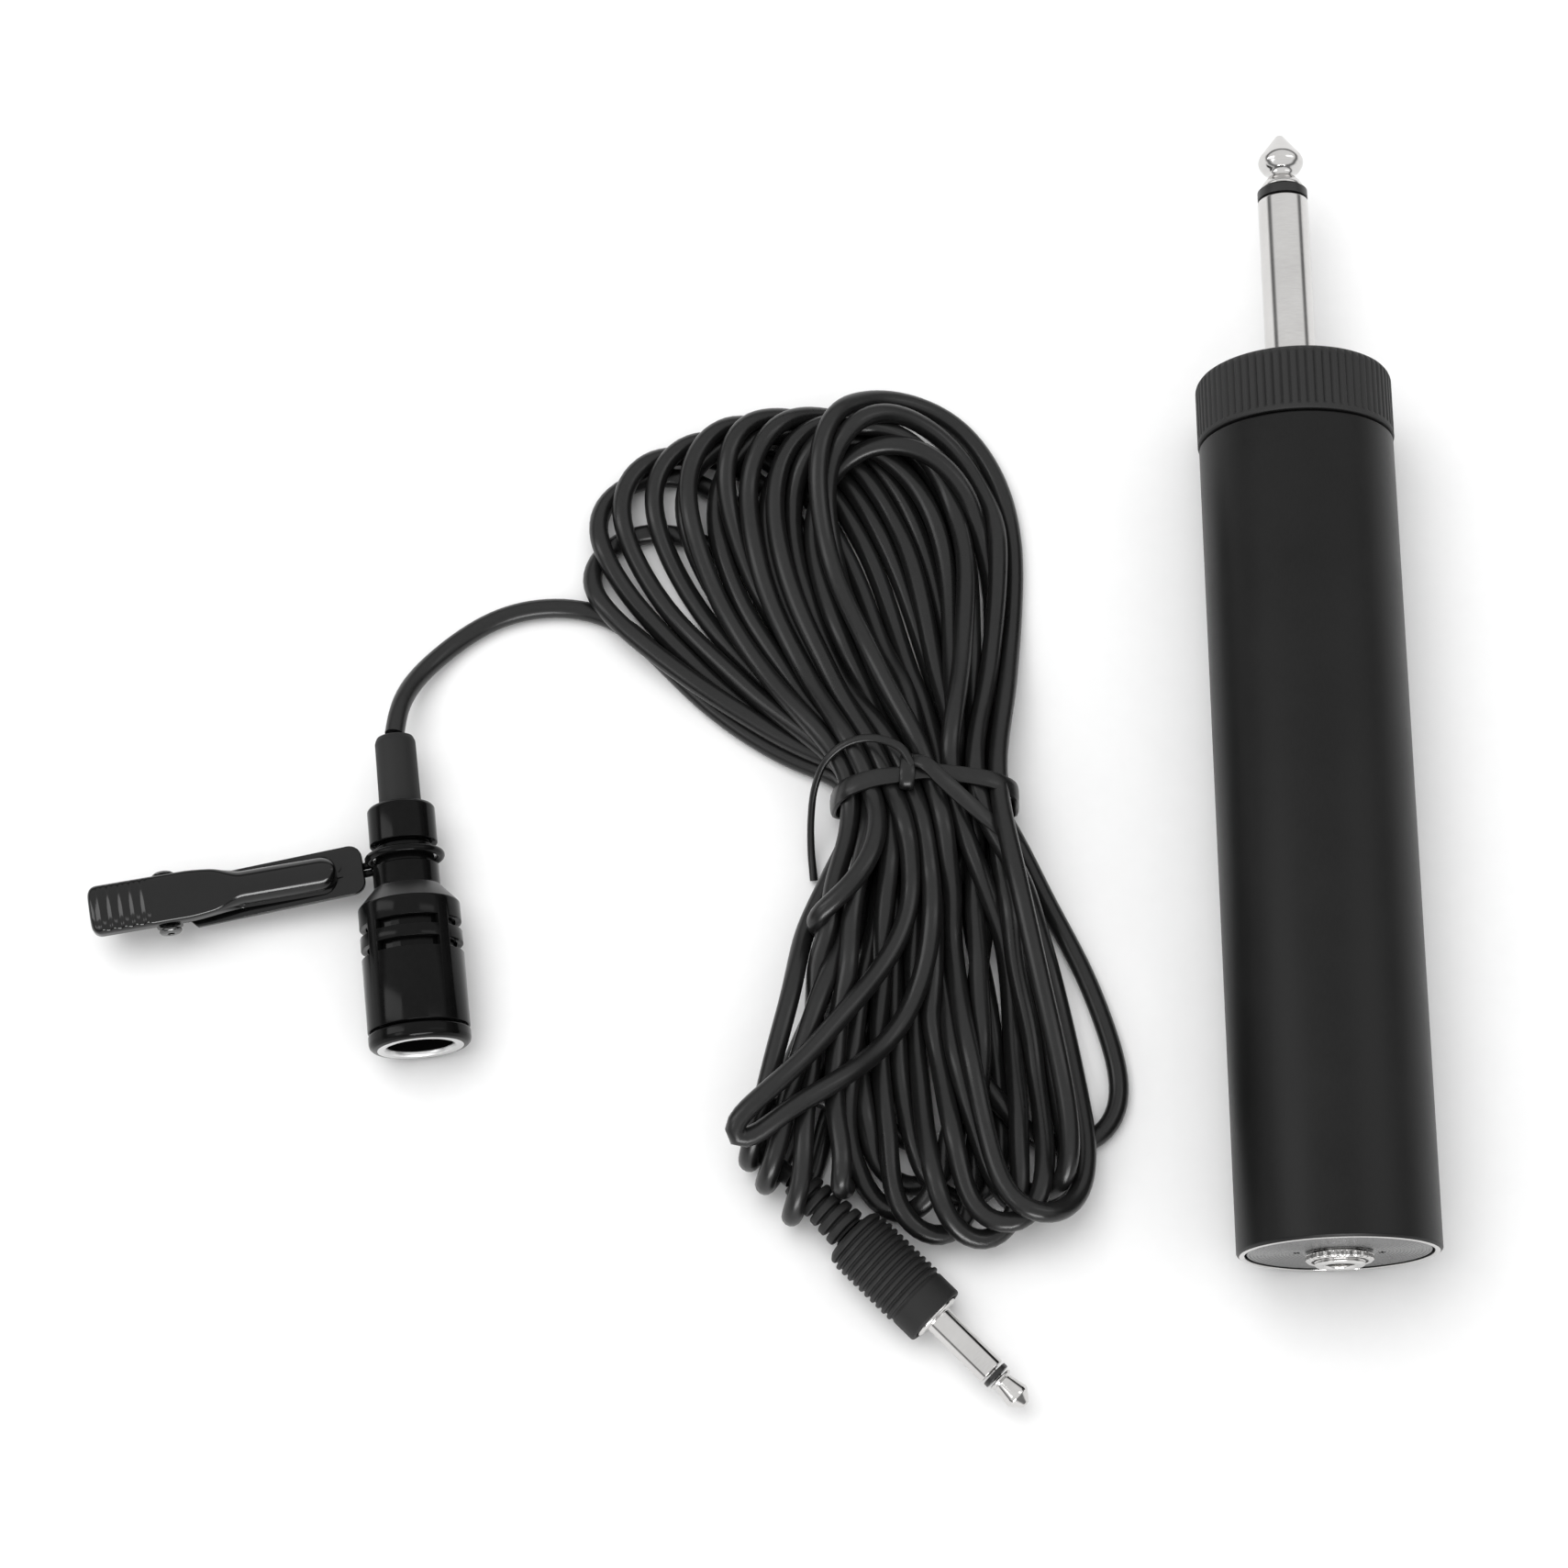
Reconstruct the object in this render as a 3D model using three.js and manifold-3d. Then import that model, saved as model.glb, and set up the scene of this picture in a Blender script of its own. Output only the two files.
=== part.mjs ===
// Lavalier microphone kit: a clip-on electret microphone head, its thin cord in a tied hank with a
// 3.5 mm plug, and a tubular battery adapter with a 3.5 mm jack at one end and a 6.35 mm plug at the other.
// Millimetres, +Z up. The kit lies on the plane z = 0. The origin is the middle of the footprint of
// the microphone head, clip and adapter. The adapter's axis runs along +Y.

import * as THREE from 'three';
import { mergeVertices } from 'three/addons/utils/BufferGeometryUtils.js';
import Module from 'manifold-3d';

const wasm = await Module();
wasm.setup();

// ---------------------------------------------------------------- driving dimensions

const GAP = 0.3;                    // clearance between neighbouring pieces

const ADAPTER_X = 68.6;             // adapter axis
const ADAPTER_END_Y = -71.1;        // jack end of the tube
const TUBE_R = 12.0;
const TUBE_BORE_R = 10.5;
const TUBE_LENGTH = 101.3;
const CAP_R = 12.15;
const CAP_LENGTH = 8.9;
const BIG_PLUG_R = 3.175;           // 6.35 mm plug
const BIG_PLUG_LENGTH = 31.2;
const CELL_R = 7.1;                 // AA cell
const CELL_LENGTH = 49.5;
const JACK_HOLE_R = 1.8;            // takes a 3.5 mm plug

const HEAD_FRONT = [-39.6, -43.9];  // middle of the head's front face
const HEAD_YAW_DEG = 5.65;
const HEAD_R = 6.2;
const NECK_R = 4.05;
const COLLAR_R = 4.15;
const GROOVE_R = 3.6;
const SLEEVE_R = 2.6;

const CLIP_SKEW_DEG = 4.5;          // the clip stands slightly off square to the neck
const CLIP_DROP_DEG = 5;            // and its free end hangs lower than the ring
const CLIP_PIVOT_X = -29.4;
const CLIP_WIDTH = 6.2;
const SHEET = 0.8;                  // clip sheet thickness
const LEVER_RISE_DEG = 7;

const CORD_R = 1.225;
const HANK_HEIGHT = 10.0;
const TIE = { x0: 11.2, x1: 32.3, y: -12.2, width: 3.0, thickness: 1.0 };

const PLUG_BACK = [11.84, -66.62];  // back end of the small plug's boot
const PLUG_TURN_DEG = -135.4;
const BOOT_R = 4.225;
const BOOT_LENGTH = 14.0;
const SMALL_PLUG_R = 1.75;          // 3.5 mm plug
const RELIEF_LENGTH = 9.2;

// ---------------------------------------------------------------- materials

function material(color, roughness, metalness) {
  return new THREE.MeshStandardMaterial({ color, roughness, metalness });
}

const FINISH = {
  blackAnodised: () => material(0x18181a, 0.42, 0.35),
  blackGloss: () => material(0x121213, 0.18, 0.25),
  blackRubber: () => material(0x1b1b1c, 0.7, 0),
  blackPlastic: () => material(0x1a1a1b, 0.5, 0),
  pvc: () => material(0x1d1d1e, 0.45, 0),
  nickel: () => material(0xc9c9c6, 0.16, 1),
  steel: () => material(0x9b9c9e, 0.3, 1),
  turnedAluminium: () => material(0xa6a7a9, 0.34, 1),
  gauze: () => material(0x3a3a3c, 0.5, 0.8),
  foam: () => material(0x202021, 0.95, 0),
  board: () => material(0x1f5a36, 0.55, 0),
  brass: () => material(0xb9964f, 0.3, 1),
  ivoryPlastic: () => material(0xd8d4c4, 0.5, 0),
  cellJacket: () => material(0x2f3a4a, 0.4, 0.3),
};

// ---------------------------------------------------------------- solids

function signedVolume(position, triangles) {
  const a = new THREE.Vector3();
  const b = new THREE.Vector3();
  const c = new THREE.Vector3();
  let volume = 0;
  for (let i = 0; i < triangles.length; i += 3) {
    a.fromBufferAttribute(position, triangles[i]);
    b.fromBufferAttribute(position, triangles[i + 1]);
    c.fromBufferAttribute(position, triangles[i + 2]);
    volume += a.dot(b.cross(c)) / 6;
  }
  return volume;
}

// A closed geometry as a solid: shared vertices merged, flat triangles dropped, faces turned outwards.
function solidOf(geometry) {
  const bare = geometry.clone();
  bare.deleteAttribute('normal');
  bare.deleteAttribute('uv');
  const welded = mergeVertices(bare, 1e-4);
  const index = Array.from(welded.index.array);
  const triangles = [];
  for (let i = 0; i < index.length; i += 3) {
    const [p, q, r] = index.slice(i, i + 3);
    if (p !== q && q !== r && r !== p) triangles.push(p, q, r);
  }
  if (signedVolume(welded.attributes.position, triangles) < 0) triangles.reverse();
  return new wasm.Manifold(new wasm.Mesh({
    numProp: 3,
    vertProperties: new Float32Array(welded.attributes.position.array),
    triVerts: new Uint32Array(triangles),
  }));
}

function geometryOf(solid) {
  const mesh = solid.getMesh();
  const geometry = new THREE.BufferGeometry();
  geometry.setAttribute('position', new THREE.BufferAttribute(new Float32Array(mesh.vertProperties), 3));
  geometry.setIndex(Array.from(mesh.triVerts));
  geometry.computeVertexNormals();
  return geometry;
}

function join(first, ...rest) {
  return rest.reduce((solid, other) => solid.add(other), first);
}

function cut(first, ...rest) {
  return rest.reduce((solid, other) => solid.subtract(other), first);
}

// A body of revolution about the local Y axis. Each profile point is [radius, y].
function turned(profile, segments = 40) {
  return solidOf(new THREE.LatheGeometry(profile.map(([r, y]) => new THREE.Vector2(r, y)), segments));
}

function discProfile(radius, y0, y1) {
  return [[0, y0], [radius, y0], [radius, y1], [0, y1]];
}

function ringProfile(outer, inner, y0, y1) {
  return [[inner, y0], [outer, y0], [outer, y1], [inner, y1], [inner, y0]];
}

function box(x0, x1, y0, y1, z0, z1) {
  const geometry = new THREE.BoxGeometry(x1 - x0, y1 - y0, z1 - z0);
  geometry.translate((x0 + x1) / 2, (y0 + y1) / 2, (z0 + z1) / 2);
  return solidOf(geometry);
}

// A cylinder along Y, from one end to the other, with its axis at the given X and Z.
function rodY(radius, from, to, x = 0, z = 0, segments = 20) {
  const geometry = new THREE.CylinderGeometry(radius, radius, to - from, segments);
  return solidOf(geometry.translate(x, (from + to) / 2, z));
}

// The same along Z, with its axis at the given X and Y.
function rodZ(radius, from, to, x = 0, y = 0, segments = 20) {
  const geometry = new THREE.CylinderGeometry(radius, radius, to - from, segments);
  return solidOf(geometry.rotateX(Math.PI / 2).translate(x, y, (from + to) / 2));
}

// A plan outline raised from z0 to z1.
function raised(shape, z0, z1, curveSegments = 6) {
  const geometry = new THREE.ExtrudeGeometry(shape, { depth: z1 - z0, bevelEnabled: false, curveSegments });
  geometry.translate(0, 0, z0);
  return solidOf(geometry);
}

// A round tube along a route, closed at both ends.
function tubeAlong(points, radius, steps, sides) {
  const section = new THREE.Shape();
  for (let i = 0; i < sides; i += 1) {
    const angle = (2 * Math.PI * i) / sides;
    section[i ? 'lineTo' : 'moveTo'](radius * Math.cos(angle), radius * Math.sin(angle));
  }
  const path = new THREE.CatmullRomCurve3(points.map((p) => new THREE.Vector3(...p)), false, 'centripetal');
  return solidOf(new THREE.ExtrudeGeometry(section, { steps, extrudePath: path, bevelEnabled: false }));
}

function addPart(group, name, solid, finish) {
  const mesh = new THREE.Mesh(geometryOf(solid), finish());
  mesh.name = name;
  group.add(mesh);
}

const radians = THREE.MathUtils.degToRad;

// ---------------------------------------------------------------- microphone head
// Local frame: +Y runs along the head's axis from the front face to the cord.

const HEAD = {
  frontRingEnd: 1.9,
  shellStart: 2.2,
  shoulder: 17.6,
  coneEnd: 20.0,
  neckEnd: 22.7,
  grooveEnd: 25.2,
  spigotEnd: 29.0,
  collarEnd: 30.4,
  sleeveEnd: 39.5,
  boreR: 5.4,
  holderR: 5.1,
  openingR: 4.05,
  meshSpan: [4.3, 4.7],
  foamSpan: [5.0, 6.5],
  holderSpan: [6.8, 15.2],
  capsuleSpan: [7.1, 12.1],
  boardSpan: [12.4, 13.2],
};

function slotCutters() {
  const rows = [11.45, 14.15];
  const slotHeight = 0.95;
  const slotsPerRow = 4;
  const halfWidth = radians(38);
  const cutters = [];
  for (const y of rows) {
    for (let i = 0; i < slotsPerRow; i += 1) {
      const middle = (2 * Math.PI * i) / slotsPerRow;
      const sector = new THREE.Shape();
      sector.absarc(0, 0, HEAD_R + 1, middle - halfWidth, middle + halfWidth, false);
      sector.absarc(0, 0, HEAD.boreR - 0.5, middle + halfWidth, middle - halfWidth, true);
      const geometry = new THREE.ExtrudeGeometry(sector, {
        depth: slotHeight, bevelEnabled: false, curveSegments: 10,
      });
      geometry.rotateX(-Math.PI / 2).translate(0, y, 0);
      cutters.push(solidOf(geometry));
    }
  }
  return cutters;
}

function headShell() {
  const spigotR = 2.8;
  const cordBoreR = 1.7;
  const boreEnd = HEAD.holderSpan[1] + GAP;
  const body = turned([
    [HEAD.boreR, HEAD.shellStart], [HEAD_R, HEAD.shellStart], [HEAD_R, HEAD.shoulder],
    [NECK_R, HEAD.coneEnd], [NECK_R, HEAD.neckEnd], [GROOVE_R, HEAD.neckEnd],
    [GROOVE_R, HEAD.grooveEnd], [spigotR, HEAD.grooveEnd], [spigotR, HEAD.spigotEnd],
    [cordBoreR, HEAD.spigotEnd], [cordBoreR, boreEnd], [HEAD.boreR, boreEnd],
    [HEAD.boreR, HEAD.shellStart],
  ], 48);
  return cut(body, ...slotCutters());
}

function frontRing() {
  const spigotR = HEAD.boreR - GAP;
  const spigotEnd = HEAD.meshSpan[0] - GAP;
  return turned([
    [HEAD.openingR + 0.25, 0], [HEAD_R - 0.9, 0], [HEAD_R - 0.35, 0.2], [HEAD_R, 0.75],
    [HEAD_R, HEAD.frontRingEnd], [spigotR, HEAD.frontRingEnd], [spigotR, spigotEnd],
    [HEAD.openingR, spigotEnd], [HEAD.openingR, 0.35], [HEAD.openingR + 0.25, 0],
  ], 40);
}

function cableSleeve() {
  const boreR = CORD_R + GAP;
  const start = HEAD.spigotEnd + GAP;
  return turned([
    [boreR, start], [SLEEVE_R, start], [SLEEVE_R, HEAD.sleeveEnd - 0.5], [SLEEVE_R - 0.5, HEAD.sleeveEnd],
    [boreR, HEAD.sleeveEnd], [boreR, start],
  ], 24);
}

function buildHead() {
  const head = new THREE.Group();
  head.position.set(HEAD_FRONT[0], HEAD_FRONT[1], HEAD_R);
  head.rotation.z = radians(HEAD_YAW_DEG);
  addPart(head, 'head_shell', headShell(), FINISH.blackGloss);
  addPart(head, 'front_ring', frontRing(), FINISH.blackGloss);
  const capsuleR = 3.0;
  const collarBoreR = 3.1;
  const collarStart = HEAD.grooveEnd + GAP;
  addPart(head, 'front_mesh', turned(discProfile(HEAD.holderR, ...HEAD.meshSpan), 32), FINISH.gauze);
  addPart(head, 'foam_disc', turned(discProfile(HEAD.holderR, ...HEAD.foamSpan), 32), FINISH.foam);
  addPart(head, 'capsule_holder',
    turned(ringProfile(HEAD.holderR, capsuleR + GAP, ...HEAD.holderSpan), 32), FINISH.blackRubber);
  addPart(head, 'electret_capsule',
    turned(discProfile(capsuleR, ...HEAD.capsuleSpan), 24), FINISH.turnedAluminium);
  addPart(head, 'capsule_board', turned(discProfile(capsuleR, ...HEAD.boardSpan), 20), FINISH.board);
  const collar = turned([
    [collarBoreR, collarStart], [COLLAR_R, collarStart], [COLLAR_R, HEAD.collarEnd - 0.4],
    [COLLAR_R - 0.4, HEAD.collarEnd], [collarBoreR, HEAD.collarEnd], [collarBoreR, collarStart],
  ], 40);
  addPart(head, 'rear_collar', collar, FINISH.blackGloss);
  addPart(head, 'cable_sleeve', cableSleeve(), FINISH.blackRubber);
  head.add(buildClip());
  return head;
}

// ---------------------------------------------------------------- tie clip
// Local frame: origin on the neck's axis at the ring, -X runs along the clip to the finger pad,
// Y along the neck and Z up through the plates.

const WIRE_R = 0.5;
const RING_R = GROOVE_R + GAP + WIRE_R;
const PLATE = { end: -5.3, top: -0.4, earR: 1.4, earIn: 1.45, earOut: 2.15 };
const PIN = { z: 1.6, r: 0.6, holeR: 0.9, headR: 1.4, headIn: 3.45, headOut: 3.85 };

// Wire ring around the neck, with both wire ends bent out side by side under the plate.
function clipRing() {
  const legZ = -1.95;
  const ring = new THREE.TorusGeometry(RING_R, WIRE_R, 8, 36);
  ring.rotateX(Math.PI / 2);
  const skew = radians(CLIP_SKEW_DEG);
  const legs = [-0.5, 0.5].map((y) => {
    const leg = new THREE.CylinderGeometry(0.45, 0.45, 5.2, 10);
    leg.rotateZ(Math.PI / 2).translate(-6.0, y, legZ).rotateZ(skew);
    return solidOf(leg);
  });
  return join(solidOf(ring), ...legs);
}

function plateOutline() {
  const half = CLIP_WIDTH / 2;
  const corner = 1.2;
  const waist = -26.5;
  const earEnd = CLIP_PIVOT_X - 1.7;
  const tongueEnd = -37.6;
  const tongueHalf = 1.5;
  const shape = new THREE.Shape();
  shape.moveTo(waist, -half);
  shape.lineTo(PLATE.end - corner, -half);
  shape.absarc(PLATE.end - corner, -half + corner, corner, -Math.PI / 2, 0, false);
  shape.absarc(PLATE.end - corner, half - corner, corner, 0, Math.PI / 2, false);
  shape.lineTo(waist, half);
  shape.lineTo(waist - 0.8, PLATE.earOut);
  shape.lineTo(earEnd, PLATE.earOut);
  shape.lineTo(earEnd - 0.6, tongueHalf);
  shape.lineTo(tongueEnd + tongueHalf, tongueHalf);
  shape.absarc(tongueEnd + tongueHalf, 0, tongueHalf, Math.PI / 2, (3 * Math.PI) / 2, false);
  shape.lineTo(earEnd - 0.6, -tongueHalf);
  shape.lineTo(earEnd, -PLATE.earOut);
  shape.lineTo(waist - 0.8, -PLATE.earOut);
  return shape;
}

function clipPlate() {
  const sheet = raised(plateOutline(), PLATE.top - SHEET, PLATE.top, 5);
  const ears = [-1, 1].flatMap((side) => {
    const y0 = Math.min(side * PLATE.earIn, side * PLATE.earOut);
    const y1 = Math.max(side * PLATE.earIn, side * PLATE.earOut);
    return [
      box(CLIP_PIVOT_X - PLATE.earR, CLIP_PIVOT_X + PLATE.earR, y0, y1, PLATE.top - 0.2, PIN.z),
      rodY(PLATE.earR, y0, y1, CLIP_PIVOT_X, PIN.z, 16),
    ];
  });
  const hole = rodY(PIN.holeR, -CLIP_WIDTH, CLIP_WIDTH, CLIP_PIVOT_X, PIN.z, 16);
  return cut(join(sheet, ...ears), hole);
}

function clipPin() {
  return turned([
    [0, -PIN.headOut], [PIN.headR, -PIN.headOut], [PIN.headR, -PIN.headIn], [PIN.r, -PIN.headIn],
    [PIN.r, PIN.headIn], [PIN.headR, PIN.headIn], [PIN.headR, PIN.headOut], [0, PIN.headOut],
  ], 16);
}

// Lever seen from above, with its sides drawn in by the inset. X is measured from the pivot.
function leverOutline(inset) {
  const wide = CLIP_WIDTH / 2 - inset;
  const narrow = 2.05 - inset;
  const padEnd = -9.2 + inset;
  const wideEnd = 6.8;
  const narrowStart = 8.4;
  const jawEnd = 20.9 - inset;
  const corner = 1.2 - inset / 2;
  const shape = new THREE.Shape();
  shape.moveTo(padEnd + corner, -wide);
  shape.lineTo(wideEnd, -wide);
  shape.lineTo(narrowStart, -narrow);
  shape.lineTo(jawEnd - narrow, -narrow);
  shape.absarc(jawEnd - narrow, 0, narrow, -Math.PI / 2, Math.PI / 2, false);
  shape.lineTo(narrowStart, narrow);
  shape.lineTo(wideEnd, wide);
  shape.lineTo(padEnd + corner, wide);
  shape.absarc(padEnd + corner, wide - corner, corner, Math.PI / 2, Math.PI, false);
  shape.absarc(padEnd + corner, -wide + corner, corner, Math.PI, (3 * Math.PI) / 2, false);
  return shape;
}

function clipLever() {
  const top = 2.9;
  const skirt = 0.9;
  const wall = 0.65;
  const earR = 1.6;
  const ribs = { count: 5, pitch: 1.35, first: -8.1, width: 0.7, rise: 0.35 };
  const half = CLIP_WIDTH / 2;
  const shell = cut(
    raised(leverOutline(0), skirt, top),
    raised(leverOutline(wall), skirt - 1, top - 0.7),
  );
  const ears = [-1, 1].flatMap((side) => {
    const y0 = Math.min(side * (half - wall), side * half);
    const y1 = Math.max(side * (half - wall), side * half);
    return [box(-earR, earR, y0, y1, 0, skirt + 0.2), rodY(earR, y0, y1, 0, 0, 16)];
  });
  const ridges = [];
  for (let i = 0; i < ribs.count; i += 1) {
    const x = ribs.first + i * ribs.pitch - ribs.width / 2;
    ridges.push(box(x, x + ribs.width, 0.5 - half, half - 0.5, top - 0.2, top + ribs.rise));
  }
  return cut(join(shell, ...ears, ...ridges), rodY(PIN.holeR, -CLIP_WIDTH, CLIP_WIDTH, 0, 0, 16));
}

function buildClip() {
  const clip = new THREE.Group();
  clip.position.y = (HEAD.neckEnd + HEAD.grooveEnd) / 2;
  clip.rotation.y = radians(-CLIP_DROP_DEG);
  addPart(clip, 'clip_ring', clipRing(), FINISH.blackGloss);

  const plates = new THREE.Group();
  plates.rotation.z = radians(CLIP_SKEW_DEG);
  clip.add(plates);
  addPart(plates, 'clip_plate', clipPlate(), FINISH.blackGloss);

  const pivot = new THREE.Group();
  pivot.position.set(CLIP_PIVOT_X, 0, PIN.z);
  plates.add(pivot);
  addPart(pivot, 'clip_pin', clipPin(), FINISH.steel);
  const coil = turned(ringProfile(PLATE.earIn - 0.1, PIN.holeR, 0.35 - PLATE.earIn, PLATE.earIn - 0.35), 20);
  addPart(pivot, 'clip_spring', coil, FINISH.steel);

  const lever = new THREE.Group();
  lever.rotation.y = radians(LEVER_RISE_DEG);
  pivot.add(lever);
  addPart(lever, 'clip_lever', clipLever(), FINISH.blackGloss);
  return clip;
}

// ---------------------------------------------------------------- cord, hank and tie

// From the sleeve the cord drops to the table and curves round to the hank.
const LEAD_ROUTE = [
  [-43.5, -4.2, 6.2], [-43.3, -1.6, 5.8], [-42.6, 1.3, 4.4], [-41.1, 4.4, 2.7],
  [-39.2, 6.9, 1.6], [-37.1, 9.1, 1.25], [-34.5, 11.1, 1.25], [-31.9, 12.7, 1.25],
  [-29.5, 13.7, 1.25], [-27.1, 14.2, 1.25], [-24.9, 14.5, 1.25], [-22.9, 14.5, 1.25],
  [-21.0, 14.3, 1.25], [-19.5, 14.0, 1.25], [-18.2, 13.6, 1.25],
];

const TAIL_ROUTE = [
  [1.4, -56.2, 3.0], [1.9, -57.3, 3.4], [2.8, -58.2, 3.8], [3.8, -59.0, 4.1], [4.9, -59.7, 4.225],
];

const HANK_OUTLINE = [
  [11.5, -15.5], [8.3, -30.0], [3.5, -44.0], [-1.0, -51.0], [0.5, -55.0], [7.5, -56.5], [13.5, -61.3],
  [19.5, -65.3], [28.0, -67.5], [37.5, -64.5], [41.5, -55.5], [42.5, -45.0], [38.5, -29.0], [32.0, -15.0],
  [33.0, -1.0], [34.2, 14.0], [33.3, 25.5], [27.5, 36.0], [17.4, 40.8], [4.0, 38.3], [-8.5, 34.6],
  [-16.5, 29.0], [-18.7, 20.5], [-15.0, 11.5], [-6.0, 2.0], [4.5, -5.0], [10.5, -10.0],
];

function hank() {
  const curve = new THREE.CatmullRomCurve3(HANK_OUTLINE.map(([x, y]) => new THREE.Vector3(x, y, 0)), true);
  const rim = curve.getPoints(2 * HANK_OUTLINE.length);
  const outline = new THREE.Shape(rim.map((point) => new THREE.Vector2(point.x, point.y)));
  const reach = 8;
  const y0 = TIE.y - TIE.width / 2 - GAP;
  const y1 = TIE.y + TIE.width / 2 + GAP;
  const channel = cut(
    box(TIE.x0 - reach, TIE.x1 + reach, y0, y1, -1, HANK_HEIGHT + 1),
    box(TIE.x0 + GAP, TIE.x1 - GAP, y0 - 1, y1 + 1, TIE.thickness + GAP, HANK_HEIGHT),
  );
  return cut(raised(outline, 0, HANK_HEIGHT), channel);
}

function roundedRectangle(x0, x1, y0, y1, radius, Kind) {
  const path = new Kind();
  path.moveTo(x0 + radius, y0);
  path.absarc(x1 - radius, y0 + radius, radius, -Math.PI / 2, 0, false);
  path.absarc(x1 - radius, y1 - radius, radius, 0, Math.PI / 2, false);
  path.absarc(x0 + radius, y1 - radius, radius, Math.PI / 2, Math.PI, false);
  path.absarc(x0 + radius, y0 + radius, radius, Math.PI, (3 * Math.PI) / 2, false);
  return path;
}

// The tie is a flat band around the waist of the hank.
function tieBand() {
  const t = TIE.thickness;
  const top = HANK_HEIGHT + GAP;
  const band = roundedRectangle(TIE.x0 - t, TIE.x1 + t, 0, top + t, 1.6, THREE.Shape);
  band.holes.push(roundedRectangle(TIE.x0, TIE.x1, t, top, 0.25, THREE.Path));
  const geometry = new THREE.ExtrudeGeometry(band, {
    depth: TIE.width, bevelEnabled: false, curveSegments: 4,
  });
  geometry.rotateX(Math.PI / 2).translate(0, TIE.y + TIE.width / 2, 0);
  return solidOf(geometry);
}

function buildCord() {
  const cord = new THREE.Group();
  addPart(cord, 'cord_lead', tubeAlong(LEAD_ROUTE, CORD_R, 14, 8), FINISH.pvc);
  addPart(cord, 'cord_hank', hank(), FINISH.pvc);
  addPart(cord, 'cord_tail', tubeAlong(TAIL_ROUTE, CORD_R, 4, 8), FINISH.pvc);
  addPart(cord, 'cord_tie', tieBand(), FINISH.pvc);
  return cord;
}

// ---------------------------------------------------------------- small plug on the cord
// Local frame: +Y runs from the back of the boot to the plug's tip.

const SMALL_PLUG = { flangeBack: 12.9, flangeFront: 14.4, sleeveEnd: 23.2, ringEnd: 24.1, tipEnd: 28.75 };

function smallPlugTip() {
  const rodR = 0.55;
  const { ringEnd, tipEnd } = SMALL_PLUG;
  return turned([
    [0, 13.2], [rodR, 13.2], [rodR, ringEnd + GAP], [1.15, ringEnd + GAP], [1.3, ringEnd + 0.8],
    [1.55, tipEnd - 1.5], [1.5, tipEnd - 1.2], [0.55, tipEnd - 0.1], [0, tipEnd],
  ], 24);
}

function buildSmallPlug() {
  const plug = new THREE.Group();
  plug.position.set(PLUG_BACK[0], PLUG_BACK[1], BOOT_R);
  plug.rotation.z = radians(PLUG_TURN_DEG);
  const { flangeBack, flangeFront, sleeveEnd, ringEnd } = SMALL_PLUG;
  const rodBoreR = 0.85;

  addPart(plug, 'plug_relief', turned([
    [0, -RELIEF_LENGTH], [2.0, -RELIEF_LENGTH], [2.7, -GAP], [0, -GAP],
  ], 20), FINISH.blackRubber);
  addPart(plug, 'plug_boot', turned([
    [0, 0], [3.7, 0], [BOOT_R, 0.6], [BOOT_R, BOOT_LENGTH], [3.35, BOOT_LENGTH], [3.35, flangeBack - GAP],
    [0, flangeBack - GAP],
  ], 32), FINISH.blackRubber);
  addPart(plug, 'small_plug_sleeve', turned([
    [rodBoreR, flangeBack], [3.025, flangeBack], [3.025, flangeFront], [SMALL_PLUG_R, flangeFront],
    [SMALL_PLUG_R, sleeveEnd], [rodBoreR, sleeveEnd], [rodBoreR, flangeBack],
  ], 32), FINISH.nickel);
  addPart(plug, 'small_plug_insulator',
    turned(ringProfile(SMALL_PLUG_R, rodBoreR, sleeveEnd + GAP, ringEnd), 32), FINISH.blackPlastic);
  addPart(plug, 'small_plug_tip', smallPlugTip(), FINISH.nickel);
  return plug;
}

// ---------------------------------------------------------------- battery adapter
// Local frame: origin at the jack end of the tube, +Y along the axis to the big plug.

const CAP_START = TUBE_LENGTH + GAP;
const CAP_FRONT = TUBE_LENGTH + CAP_LENGTH;
const CAP_WALL = CAP_FRONT - 3.0;   // inside face of the cap's front wall
const PLUG_STEM_R = 4.0;
const SHOULDER = CAP_FRONT + 2.5;
const TIP_END = SHOULDER + BIG_PLUG_LENGTH;
const SEAL = { start: 100.0, end: 101.0, r: 10.2, outR: 11.0 };
const LINER = { start: 43.6, end: 94.9, r: 10.2, boreR: 7.5 };
const CELL_START = 47.9;

const DISC_SEAT = { r: 11.0, depth: 4.2 };   // the end disc sits almost flush in this seat

function adapterTube() {
  const mouthR = 11.3;
  const mouthStart = 99.7;
  return turned([
    [DISC_SEAT.r, 0], [TUBE_R - 0.4, 0], [TUBE_R, 0.4], [TUBE_R, TUBE_LENGTH], [mouthR, TUBE_LENGTH],
    [mouthR, mouthStart], [TUBE_BORE_R, mouthStart], [TUBE_BORE_R, DISC_SEAT.depth],
    [DISC_SEAT.r, DISC_SEAT.depth], [DISC_SEAT.r, 0],
  ], 64);
}

function endDisc() {
  const disc = turned(ringProfile(DISC_SEAT.r - GAP, 3.3, 0.2, DISC_SEAT.depth - GAP), 48);
  const spannerHoles = [-5.4, 5.4].map((x) => rodY(0.45, 0, 5, x, 0, 8));
  return cut(disc, ...spannerHoles);
}

function jackBush() {
  return turned([
    [JACK_HOLE_R + 0.25, -1.4], [2.75, -1.4], [3.0, -1.15], [3.0, 4.3], [4.0, 4.3], [4.0, 5.0],
    [JACK_HOLE_R, 5.0], [JACK_HOLE_R, -1.15], [JACK_HOLE_R + 0.25, -1.4],
  ], 32);
}

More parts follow.
